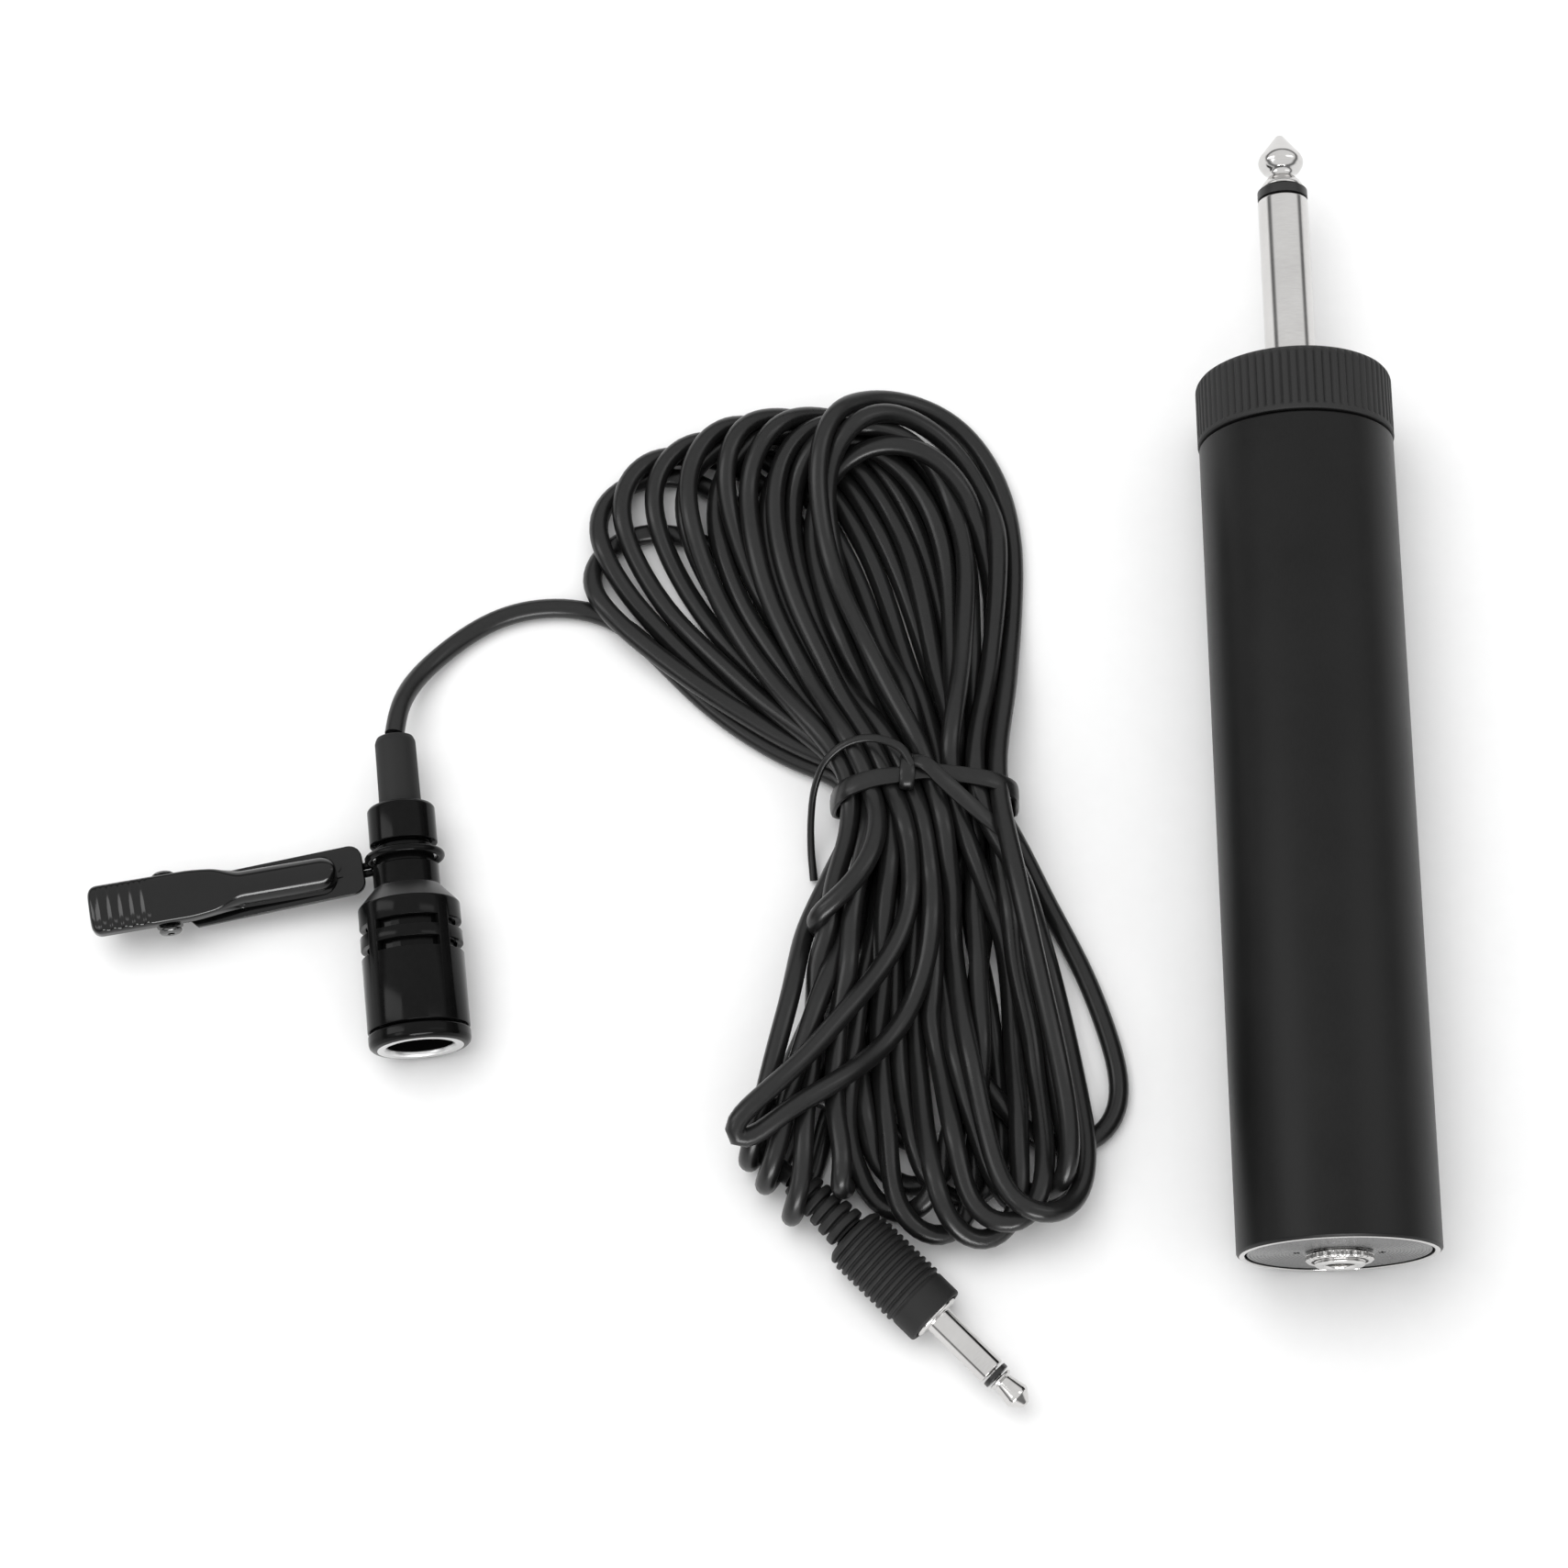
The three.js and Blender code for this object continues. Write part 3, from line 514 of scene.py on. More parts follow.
# Each loop is angle and reach from the waist, then how far its left and right strands belly out.
TOP_LOOPS = [
    (141.2, 52, 5, 8.5), (132.4, 56.5, 7, 9), (127, 56.5, 8, 9.5), (121.4, 55.5, 8.5, 9.5),
    (118.3, 53, 8.5, 9.5), (115.5, 54, 8.5, 9.5), (112.6, 51.5, 8.5, 9.5), (110.3, 53.5, 8.5, 10),
    (107, 51.5, 8.5, 10), (105, 48.5, 8.5, 10), (103, 50, 8.5, 10), (99.5, 49.5, 8.5, 10),
    (97.5, 46, 8, 9.5), (96, 49.6, 8.5, 10.5), (94.5, 52.8, 9.3, 11.2)]
# A folded loop hangs over the edge of the pile, its return strand under it; the others lie flat.
LOW_LOOPS = [
    (-66, 47, 6.5, 5.5), (-84.8, 50.5, 5, 4), (-92.3, 49, 5, 4), (-114.9, 50.5, 0.3, -0.8),
    (-111.2, 52.3, 0.5, -0.8), (-75.5, 52.5, 4.5, 4.5), (-106.7, 53.6, 1, -0.5), (-102.1, 53.8, 2, -0.5),
    (-94.5, 52.6, 5.5, 3), None, (-89.3, 54.7, 5.2, 3), None,
    (-84.4, 56, 4.6, 3.6), (-80.6, 54.6, 4.2, 4.6), (-77.2, 54.6, 4, 5.4)]
FOLDED = (3, 4, 6, 7)
FOLD_TOP = 9.5
FOLD_LOW = 1.3
# Along a strand: how far out it is, its share of the belly, and its share of the rise.
FLAT_STRAND = ((0.33, 0.58, 0.6), (0.62, 1.0, 0.95))
FLAT_SHOULDERS = ((0.95, 1.0), (0.28, 0.68))  # how many bellies short of the tip, and the share there
FOLDED_STRAND = ((0.3, 0.7), (0.55, 1.0), (0.8, 0.75))
FOLD_GAP = 0.35
LEAN_REACH = 1.6  # a strand leans fully from 1 / 1.6 of the way out
# The first turn lies at this height, and each later one so much higher before it sinks.
FIRST_TURN = 3.6
TURN_RISE = 0.95
UPPER_LIFT = 0.5
LOWER_TILT = 3.0
UPPER_TILT = -1.0
# Two turns have loops of their own below the tie: a short one, and a wide one swept across the others.
# The fourth number is 1 where the cord's height is held, and 0 where it may sink.
OWN_LOOPS = {
    9: [(16.2, -17.5, 11, 1), (15.8, -21.5, 12, 1), (13.4, -25.9, 12, 1), (10.4, -29.2, 10.6, 1),
        (8.7, -31, 8.2, 1), (9.8, -30.6, 5.6, 1), (13.4, -26.8, 3.9, 1), (18.6, -20.8, 4.2, 1),
        (22.6, -16.2, 5.2, 1)],
    11: [(18.6, -18, 12.5, 0), (19.6, -24.5, 17, 0), (17.4, -32, 18, 0), (12.1, -39.3, 17.5, 0),
         (4.8, -48, 16, 0), (0.6, -51.9, 12.9, 1), (-1.6, -54.1, 12.8, 1), (-2.9, -55.6, 12.2, 1),
         (-2.6, -56.5, 11.3, 1), (-1.2, -56.4, 10.7, 1), (1, -55.1, 10.6, 1), (4.6, -52.6, 12.2, 0),
         (10.9, -48.6, 15, 0), (17.8, -41.6, 18, 0), (20.8, -35, 18.5, 0), (21.8, -28.4, 17.5, 0),
         (21.3, -21.0, 13.5, 0)],
}


def tip_at(angle, reach):
    return WAIST + reach * np.array([cos(radians(angle)), sin(radians(angle))])


def loop_frame(start, tip, end):
    """Both slots and the tip in plan, how far out the tip is, the way there, and the way right of it."""
    a, b, t = (np.array(p[:2], float) for p in (start, end, tip))
    axis = t - (a + b) / 2
    reach = norm(axis)
    axis /= reach
    return a, b, t, reach, axis, np.array([axis[1], -axis[0]])


def loop_points(start, tip, end, start_belly, end_belly, top, tilt):
    """A flat loop from its left waist slot out to its tip and back to its right slot."""
    a, b, t, reach, _, right = loop_frame(start, tip, end)

    def strand(origin, belly, side, low, lean):
        made = []
        wide = abs(belly)
        shoulders = [(1 - short * wide / reach, share, 1.0) for short, share in FLAT_SHOULDERS]
        for part, share, rise in (*FLAT_STRAND, *shoulders):
            p = origin + part * (t - origin) + right * side * belly * share
            ease = 1.0 if part < 0.85 else (0.9 if part < 0.93 else 0.6)
            height = low + (top - low) * rise + lean * min(1, part * LEAN_REACH) * ease
            made.append((p[0], p[1], height, 0))
        return made

    out = strand(a, start_belly, 1, start[2], tilt)
    back = strand(b, end_belly, -1, end[2], -tilt)
    return out + [(t[0], t[1], top, 0)] + back[::-1]


def fold_points(start, tip, end, start_belly, end_belly):
    """A loop that folds down over the edge of the pile. Its height is held where it folds."""
    a, b, t, _, axis, right = loop_frame(start, tip, end)
    radius = (FOLD_TOP - FOLD_LOW) / 2
    middle = (FOLD_TOP + FOLD_LOW) / 2
    made = []
    for origin, belly, side, height in ((a, start_belly, 1, FOLD_TOP), (b, end_belly, -1, FOLD_LOW)):
        slot_height = start[2] if side > 0 else end[2]
        strand = []
        for part, share in FOLDED_STRAND:
            p = origin + part * (t - origin) + right * side * belly * share
            blend = min(1.0, part * 2)
            strand.append((p[0], p[1], slot_height + (height - slot_height) * blend, blend))
        root = t - axis * radius + right * side * FOLD_GAP
        for turn in (0, 45):
            lean = radians(turn)
            p = root + axis * radius * sin(lean)
            strand.append((p[0], p[1], middle + side * radius * cos(lean), 1))
        made.append(strand)
    return made[0] + [(t[0], t[1], middle, 1)] + made[1][::-1]


def hank_route():
    """The cord as wound, with x, y, z and 1 where its height is held: fifteen turns through the waist."""
    points = [(*p, 1) for p in LEAD_ROUTE]
    for turn, (low, high) in enumerate(zip(LOW_LOOPS, TOP_LOOPS)):
        height = FIRST_TURN + TURN_RISE * turn
        left, right = LEFT_SLOTS[turn], RIGHT_SLOTS[turn]
        if turn in OWN_LOOPS:
            under = OWN_LOOPS[turn]
        elif turn in FOLDED:
            under = fold_points(left, tip_at(*low[:2]), right, *low[2:])
        else:
            tilt = LOWER_TILT if turn else 0.0
            under = loop_points(left, tip_at(*low[:2]), right, *low[2:], height, tilt)
        tip = tip_at(*high[:2])
        left_belly, right_belly = high[2:]
        if turn < SWEEP:
            over = loop_points(right, tip, LEFT_SLOTS[turn + 1], right_belly, left_belly,
                               height + UPPER_LIFT, UPPER_TILT)
            points += [(*left, 0), *under, (*right, 0), *over]
            continue
        # from here the cord comes up on the left and goes down on the right
        start = SWEEP_BACK if turn == SWEEP else left
        over = loop_points(right, tip, start, right_belly, left_belly,
                           height + UPPER_LIFT, UPPER_TILT)[::-1]
        if turn == SWEEP:
            points += [(*left, 0), *under, (*start, 0), *over, (*right, 0)]
        else:
            points += [*under[::-1], (*left, 0), *over, (*right, 0)]
    return points + [(*p, 1) for p in TAIL_ROUTE]


def near_pairs(x, skip, margin):
    """The pairs of segments, at least skip apart along the cord, whose middles are within the margin."""
    middle = ((x[1:] + x[:-1]) / 2).astype(np.float32)
    square = (middle ** 2).sum(1)
    apart = square[:, None] + square[None, :] - 2 * middle @ middle.T
    return np.nonzero(np.triu(apart < margin ** 2, skip))


def closest(p1, q1, p2, q2):
    """Where two sets of segments come nearest, as fractions along each."""
    d1, d2, r = q1 - p1, q2 - p2, p1 - p2
    a, e, f = (d1 * d1).sum(1), (d2 * d2).sum(1), (d2 * r).sum(1)
    c, b = (d1 * r).sum(1), (d1 * d2).sum(1)
    s = np.clip((b * f - c * e) / np.maximum(a * e - b * b, 1e-9), 0, 1)
    t = np.clip((b * s + f) / e, 0, 1)
    return np.clip((t * b - c) / a, 0, 1), t


# The plug's relief and its boot, each as a start, an end and a radius.
BLOCKS = (((4.9, -60.2, 4.2), (11.84, -66.62, 4.2), 2.5),
          ((11.84, -66.62, 4.225), (21.6, -76.5, 4.225), 4.3))
BLOCK_GAP = 0.05
TIE_IN = (11.25, 32.25, 1.0, 10.25)  # the room inside the tie: two sides, bottom and top
TIE_ZONE = (6, 38)  # the tie only acts on strands between these sides,
TIE_REACH = 3.5  # this far to either side of the waist,
TIE_FLAT = 1.5  # and it gives way beyond this
GIVE_SIDE, GIVE_LOW, GIVE_HIGH = 0.5, 0.8, 1.2
TABLE_GAP = 0.01


def keep_out(x, free):
    """Holds the cord off the plug, inside the tie and above the table."""
    for start, end, radius in BLOCKS:
        start = np.array(start)
        axis = np.array(end) - start
        part = np.clip(((x - start) @ axis) / (axis @ axis), 0, 1)
        away = x - start - part[:, None] * axis
        distance = norm(away, axis=1)
        limit = radius + CORD_R + BLOCK_GAP
        near = (distance < limit) & free
        outwards = away[near] / np.maximum(distance[near], TINY)[:, None]
        x[near] += outwards * (limit - distance[near])[:, None]
    off = np.abs(x[:, 1] - WAIST[1])
    inside = (x[:, 0] > TIE_ZONE[0]) & (x[:, 0] < TIE_ZONE[1]) & (off < TIE_REACH)
    give = np.maximum(off - TIE_FLAT, 0)[inside]
    left, right, low, high = TIE_IN
    x[inside, 0] = np.clip(x[inside, 0], left + CORD_R - GIVE_SIDE * give, right - CORD_R + GIVE_SIDE * give)
    x[inside, 2] = np.clip(x[inside, 2], low + CORD_R - GIVE_LOW * give, high - CORD_R + GIVE_HIGH * give)
    x[:, 2] = np.maximum(x[:, 2], CORD_R + TABLE_GAP)


STEPS = 400
SINK = 0.10  # millimetres a step, less towards the end and none in the last tenth
HOLD = 0.04  # the pull sideways towards the wound line, less from 0.6 on
LATE = 0.4  # what is left of the sink and of the pull later on
PIN_HEIGHT = 0.06  # the pull of a held height
STIFF = 0.055
LIFT_BENDS = 0.05
PUSH = np.array([0.5, 0.5, 1.1])  # strands that touch part mostly upwards and downwards
EVEN = np.array([0.02, 0.02, 0.0])  # how readily a shift sideways is shared along the cord
EVEN_STRIDES = (2, 4, 7)
CONTACT_PASSES = 4
PAIRS_EVERY = 8  # steps between two searches for strands that may touch
PAIR_MARGIN = 1.2
STRETCH_FIX = 0.25
SMOOTHINGS = 2
PINNED_START, PINNED_END = 6, 3  # points that stay where they were laid
PLUG_POINTS = 8  # the last points run inside the plug's relief


def settle_cord(x):
    """Lets the wound cord sink under its weight until its strands rest on one another."""
    count = len(x)
    held = x[:, 3]
    x = x[:, :3].copy()
    planned = x.copy()
    pinned = np.zeros(count, bool)
    pinned[:PINNED_START] = pinned[-PINNED_END:] = True
    free = np.arange(count) < count - PLUG_POINTS
    spacing = norm(np.diff(x, axis=0), axis=1).mean()
    skip = int(np.ceil(3.0 * CORD_D / spacing))
    for step in range(STEPS):
        done = step / STEPS
        if step % PAIRS_EVERY == 0:
            i, j = near_pairs(x, skip, CORD_D + spacing + PAIR_MARGIN)
        x[:, 2] -= (1 - held) * (SINK if done < 0.75 else (SINK * LATE if done < 0.9 else 0.0))
        x[:, 2] += PIN_HEIGHT * held * (planned[:, 2] - x[:, 2])
        x[:, :2] += (HOLD if done < 0.6 else HOLD * LATE) * (planned[:, :2] - x[:, :2])
        bend = np.zeros_like(x)
        bend[1:-1] = x[:-2] + x[2:] - 2 * x[1:-1]
        stiff = np.zeros_like(x)
        stiff[2:-2] = bend[1:-3] + bend[3:-1] - 2 * bend[2:-2]
        x -= STIFF * stiff
        x[:, 2] += LIFT_BENDS * bend[:, 2]
        moved = x - planned
        for n in EVEN_STRIDES:
            moved[n:-n] += EVEN * (moved[:-2 * n] + moved[2 * n:] - 2 * moved[n:-n])
        x = planned + moved
        rest = norm(np.diff(x, axis=0), axis=1).mean()
        for _ in range(CONTACT_PASSES):
            s, t = closest(x[i], x[i + 1], x[j], x[j + 1])
            apart = x[i] + (x[i + 1] - x[i]) * s[:, None] - x[j] - (x[j + 1] - x[j]) * t[:, None]
            distance = norm(apart, axis=1)
            hit = distance < CORD_D
            if hit.any():
                a, b, s, t = i[hit], j[hit], s[hit], t[hit]
                share_out = (CORD_D - distance[hit]) / np.maximum(distance[hit], TINY) * 0.5
                push = share_out[:, None] * apart[hit]
                moved = np.zeros_like(x)
                weight = np.zeros(count)
                for k, by, share in ((a, push, 1 - s), (a + 1, push, s),
                                     (b, -push, 1 - t), (b + 1, -push, t)):
                    for axis in range(3):
                        moved[:, axis] += np.bincount(k, by[:, axis] * share, count)
                    weight += np.bincount(k, share, count)
                x += moved / np.maximum(weight, 1.0)[:, None] * PUSH
            span = np.diff(x, axis=0)
            length = norm(span, axis=1)[:, None]
            fix = (length - rest) / np.maximum(length, TINY) * span * STRETCH_FIX
            x[:-1] += fix
            x[1:] -= fix
            keep_out(x, free)
            x[pinned] = planned[pinned]
    for _ in range(SMOOTHINGS):
        x[1:-1] = 0.25 * x[:-2] + 0.5 * x[1:-1] + 0.25 * x[2:]
    return x


SETTLE_STEP, DRAW_STEP = 2.0, 1.0  # millimetres between points, while it settles and when it is drawn

cord_line = through(hank_route(), SETTLE_STEP)
cord_line = settle_cord(cord_line)
cord_line = through(cord_line[:, :3], DRAW_STEP)

cord_curve = bpy.data.curves.new("microphone_cord", "CURVE")
cord_curve.dimensions = "3D"
cord_curve.bevel_depth = CORD_R * MM
cord_curve.bevel_resolution = 5
cord_curve.use_fill_caps = True
line = cord_curve.splines.new("POLY")
line.points.add(len(cord_line) - 1)
line.points.foreach_set("co", np.column_stack([cord_line * MM, np.ones(len(cord_line))]).ravel())
line.use_smooth = True
cord = add("microphone_cord", cord_curve)
settle(cord, "microphone", "cord_pvc", "cord_lead", "cord_hank", "cord_tail")


# ---- the tie

UP = (0, 0, 1)
TIE_BAND = [
    # x, y, z, width, thickness, and the way the flat face looks
    (21.8, -12.4, 0.6, 2.6, 0.9, 0, 0, -1), (30.6, -12.8, 0.8, 2.6, 0.9, 0.2, 0, -1),
    (32.75, -13.3, 2.2, 2.5, 0.9, 1, 0, 0), (32.8, -13.2, 5.2, 2.4, 0.9, 1, 0, 0),
    (32.4, -12.9, 8.4, 2.3, 0.9, 1, 0, 0.6), (30, -12.3, 10.4, 2.2, 0.9, 0.4, 0, 1),
    (25.6, -11.6, 10.95, 2.1, 0.9, 0, 0, 1), (21.6, -11.2, 11.05, 2, 1, 0, 0, 1),
    (18.4, -11.6, 11, 2.1, 1, 0, 0, 1), (15, -12, 10.7, 2.3, 0.9, -0.2, 0, 1),
    (12, -12.8, 9.6, 2.5, 0.9, -0.8, 0, 0.8), (10.75, -13.2, 6.6, 2.6, 0.9, -1, 0, 0),
    (10.75, -13.2, 2.4, 2.6, 0.9, -1, 0, 0), (12.6, -12.8, 0.8, 2.6, 0.9, -0.2, 0, -1),
]
tie_band = band("tie_band", TIE_BAND, WORLD, closed=True)
KNOT = (19.4, -11.2, 11.0)
tie_knot = band("tie_knot", [
    (KNOT[0] + 0.12 * cos(a), KNOT[1] + 1.9 * cos(a), KNOT[2] + 1.15 * sin(a), 1.9, 0.9,
     0, cos(a), sin(a)) for a in (2 * pi * k / 10 for k in range(10))], WORLD, closed=True)
tie_end = band("tie_end", [
    (19.6, -9.9, 11.4, 1.6, 1, *UP), (21.4, -10.6, 12.6, 1.8, 0.9, *UP), (23.6, -12.6, 12.3, 2, 0.8, *UP),
    (26.4, -15, 11.3, 2, 0.7, *UP), (29.6, -17.6, 10.3, 1.9, 0.7, 0.3, 0, 1),
    (33.0, -20.2, 8.9, 1.7, 0.6, 0.5, 0, 1)], WORLD)
tie_whisker = band("tie_whisker", [
    (20, -10.8, 12.2, 1.1, 0.9, *UP), (18.6, -8.6, 12.4, 1.1, 0.9, *UP), (15.4, -7.3, 12.2, 1.05, 0.9, *UP),
    (12.2, -7.6, 11.4, 1, 0.9, *UP), (9.6, -9.2, 9.6, 1, 0.85, -1, 0, 1),
    (8.2, -11.8, 6.8, 1, 0.8, -1, 0, 1), (7.7, -15, 4, 1, 0.8, -1, 0, 1),
    (7.7, -18.6, 1.9, 1.0, 0.8, -0.6, 0, 1), (8.0, -22.0, 0.7, 1.0, 0.7, 0, 0, 1)], WORLD, squareness=1.0)
tie = merge("cord_tie_strip", tie_band, tie_knot, tie_end, tie_whisker)
settle(tie, "microphone", "cord_pvc", "cord_tie")


# ---- the small plug

RELIEF_END = -9.2
relief_rows = [(0, RELIEF_END), (1.75, RELIEF_END)]
RELIEF_RINGS = 6
ring_step = (-0.3 - RELIEF_END) / RELIEF_RINGS
for k in range(RELIEF_RINGS):
    start = RELIEF_END + k * ring_step
    wide = 2.0 + 0.7 * (k + 0.5) / RELIEF_RINGS
    waist_r = wide - 0.75
    relief_rows += [(wide - 0.15, start), (wide, start + 0.2), (wide, start + 0.62 * ring_step),
                    (wide - 0.15, start + 0.7 * ring_step), (waist_r, start + 0.74 * ring_step),
                    (waist_r, start + 0.96 * ring_step)]
relief_rows += [(2.2, -0.3), (0, -0.3)]
relief = turned("plug_relief_rings", "microphone", "black_rubber", "plug_relief",
    relief_rows, PLUG, segments=40, closed=False)

boot_rows = [(0, 0), (3.3, 0), (3.75, 0.35)]
BOOT_RIBS = 11
RIB_STEP = 0.93
for k in range(BOOT_RIBS):
    start = 0.45 + k * RIB_STEP
    crest = 4.15 if k else 3.95
    boot_rows += [(crest, start + 0.12), (crest, start + 0.5), (crest - 0.36, start + 0.64),
                  (crest - 0.36, start + 0.86)]
boot_rows += [(3.95, 10.85), (3.95, 13.75), (3.8, 14.0), (3.35, 14.0), (3.35, 12.6), (0, 12.6)]
boot = turned("plug_boot_ribbed", "microphone", "black_rubber", "plug_boot",
    boot_rows, PLUG, segments=72, closed=False, round_by=0.16)

small_sleeve = turned("small_plug_shaft", "microphone", "nickel", "small_plug_sleeve", [
    (0.85, 12.9), (3, 12.9), (3, 14.15), (2.7, 14.4), (1.75, 14.4), (1.75, 23.2), (0.85, 23.2)], PLUG,
    segments=64, round_by=0.14)
small_ring = turned("small_plug_ring", "microphone", "black_plastic", "small_plug_insulator",
    ring_profile(1.72, 0.85, 23.5, 24.1), PLUG, segments=64)
small_tip = turned("small_plug_point", "microphone", "nickel", "small_plug_tip", [
    (0, 13.2), (0.55, 13.2), (0.55, 24.4), (1.5, 24.4), (1.62, 24.55), (1.5, 24.75), (1.15, 24.95),
    (1.2, 25.1), (1.62, 27.1), (1.55, 27.5), (0.6, 28.6), (0.45, 28.72), (0, 28.75)], PLUG, segments=64,
    closed=False, round_by=0.1)


# ---- the microphone head

HEAD_R = 6.2
BORE_R = 5.4
shell = lathe("head_shell_turned", [
    (BORE_R, 2.2), (HEAD_R, 2.2), (HEAD_R, 17.6), (4.05, 20.0), (4.05, 22.7), (3.6, 22.7), (3.6, 25.2),
    (2.8, 25.2), (2.8, 29.0), (1.7, 29.0), (1.7, 15.5), (BORE_R, 15.5)], HEAD, segments=144, round_by=0.16)
SLOT_ROWS = (11.3, 14.0)
SLOT_HEIGHT = 1.2
SLOT_FLOOR = 4.9  # radius that the slots are cut down to, inside the shell's bore
SLOT_HALF = 38  # degrees
SLOTS = 4
for y in SLOT_ROWS:
    wedges = []
    for k in range(SLOTS):
        start, end = 360 / SLOTS * k - SLOT_HALF, 360 / SLOTS * k + SLOT_HALF
        outline = arc(0, 0, HEAD_R + 1, start, end, 14) + arc(0, 0, SLOT_FLOOR, end, start, 14)
        wedges.append(prism(f"wedge_{k}", outline, 0, SLOT_HEIGHT,
                            HEAD @ shift(0, y, 0) @ spin(-90, "X")))
    carve(shell, merge("wedges", *wedges))
soften(shell, 0.06, 50, 2)
paint(shell, LOOKS["gloss_black_metal"], CONE_LOOK, lambda y, r: 17.7 < y < 19.95 and r > 3.9)
settle(shell, "microphone", "gloss_black_metal", "head_shell")

front = lathe("head_front_rim", [
    (4.34, 0), (5.1, 0), (5.3, 0), (5.75, 0.12), (6.08, 0.42), (HEAD_R, 0.8), (HEAD_R, 1.72), (6.05, 1.9),
    (5.1, 1.9), (5.1, 4.0), (4.05, 4.0), (4.05, 0.62), (4.05, 0.5), (4.15, 0.2)], HEAD, segments=112,
    round_by=0.1)
# The front face inside r 5.2 is painted bright metal. This is a painted reflection of the table in the rim's
# black gloss face, not bare metal.
paint(front, LOOKS["gloss_black_metal"], PAINTED_RIM_REFLECTION, lambda y, r: y < 0.6 and r < 5.2)
settle(front, "microphone", "gloss_black_metal", "front_ring")

# The gauze is a slightly crowned disc of woven wire.
gauze_rows = [(0, 4.05), (1.5, 4.08), (3.0, 4.16), (4.2, 4.28), (5.05, 4.34), (5.05, 4.7), (0, 4.7)]
turned("head_gauze_disc", "microphone", "dark_gauze", "front_mesh",
    gauze_rows, HEAD, segments=72, closed=False, round_by=0.1)

turned("head_collar_turned", "microphone", "gloss_black_metal", "rear_collar", [
    (3.1, 25.5), (4.15, 25.5), (4.15, 29.95), (3.85, 30.35), (3.1, 30.4)], HEAD, round_by=0.16)
turned("head_cord_sleeve", "microphone", "black_rubber", "cable_sleeve", [
    (1.525, 29.3), (2.6, 29.3), (2.55, 33), (2.5, 38.7), (2.2, 39.4), (1.525, 39.5)], HEAD, segments=56,
    round_by=0.2)


# ---- the clip

RING_R = 4.4
WIRE = 1.0  # the ring's wire, across
RING_POINTS = 36


def wound(radius, wire, count, per_turn, start=0.0, rise=0.0):
    """Points of a round wire wound about Y, with its start and its rise from point to point."""
    return [(radius * cos(a), start + rise * k, radius * sin(a), wire, wire, cos(a), 0, sin(a))
            for k, a in enumerate(2 * pi * k / per_turn for k in range(count))]


ring = band("ring_loop", wound(RING_R, WIRE, RING_POINTS, RING_POINTS), CLIP, step=0.35, closed=True,
            squareness=1.0)
legs = []
for side in (-0.5, 0.5):
    route = [(-3.55, side, -2.15), (-4.6, side - 0.27, -2.0), (-6.2, side - 0.42, -1.95),
             (-8.5, side - 0.6, -1.95)]
    legs.append(band(f"ring_leg_{side}", [(*p, 0.9, 0.9, *UP) for p in route], CLIP, squareness=1.0))
ring = merge("clip_wire_ring", ring, *legs)
settle(ring, "clip", "gloss_black_metal", "clip_ring")


def lug_pair(name, outline, inner, outer, matrix, edge):
    """Two lugs, one to each side of the middle, from an outline in the X-Z plane."""
    made = []
    for side in (-1, 1):
        y0, y1 = sorted((side * inner, side * outer))
        piece = prism(f"{name}_{side}", outline, -y1, -y0, matrix @ spin(90, "X"))
        soften(piece, edge)
        made.append(piece)
    return made


CLIP_HALF = 3.1
PLATE_EDGE = 0.16
LEVER_EDGE = 0.14
plate_outline = (
    [(-26.5, -CLIP_HALF)] + arc(-6.9, -CLIP_HALF + 1.6, 1.6, -90, 0) + arc(-6.9, CLIP_HALF - 1.6, 1.6, 0, 90)
    + [(-26.5, CLIP_HALF), (-27.3, 2.15), (-31.1, 2.15), (-31.7, 1.5)] + arc(-36.1, 0, 1.5, 90, 270)
    + [(-31.7, -1.5), (-31.1, -2.15), (-27.3, -2.15)])
sheet = prism("plate_sheet", plate_outline, -1.2, -0.4, PLATES)
soften(sheet, PLATE_EDGE)
plate_lug = [(-30.8, -0.6)] + arc(-29.4, 1.6, 1.4, 180, 0, 12) + [(-28.0, -0.6)]
plate = merge("clip_back_plate", sheet, *lug_pair("plate_lug", plate_lug, 1.45, 2.15, PLATES, PLATE_EDGE))
dress(plate, CLIP_LOOK)
settle(plate, "clip", "gloss_black_metal", "clip_plate")

pin = lathe("clip_hollow_rivet", [
    (0.42, -3.95), (0.75, -3.95), (1.2, -3.85), (1.4, -3.6), (1.35, -3.42), (0.8, -3.42), (0.6, -3.2),
    (0.6, 3.2), (0.8, 3.42), (1.35, 3.42), (1.4, 3.6), (1.1, 3.85), (0.6, 3.95), (0.42, 3.85), (0.42, 3),
    (0.42, -3.0)], PIVOT, segments=56, round_by=0.1)
dress(pin, RIVET_LOOK)
settle(pin, "clip", "spring_steel", "clip_pin")

COIL_POINTS = 4 * 12  # four turns of the spring, twelve points each
COIL_R = 1.12
COIL_WIRE = 0.44
COIL_HALF = 1.0
coil = band("clip_torsion_spring",
            wound(COIL_R, COIL_WIRE, COIL_POINTS + 1, 12, -COIL_HALF, 2 * COIL_HALF / COIL_POINTS), PIVOT,
            step=0.2, sides=8, squareness=1.0)
settle(coil, "clip", "spring_steel", "clip_spring")

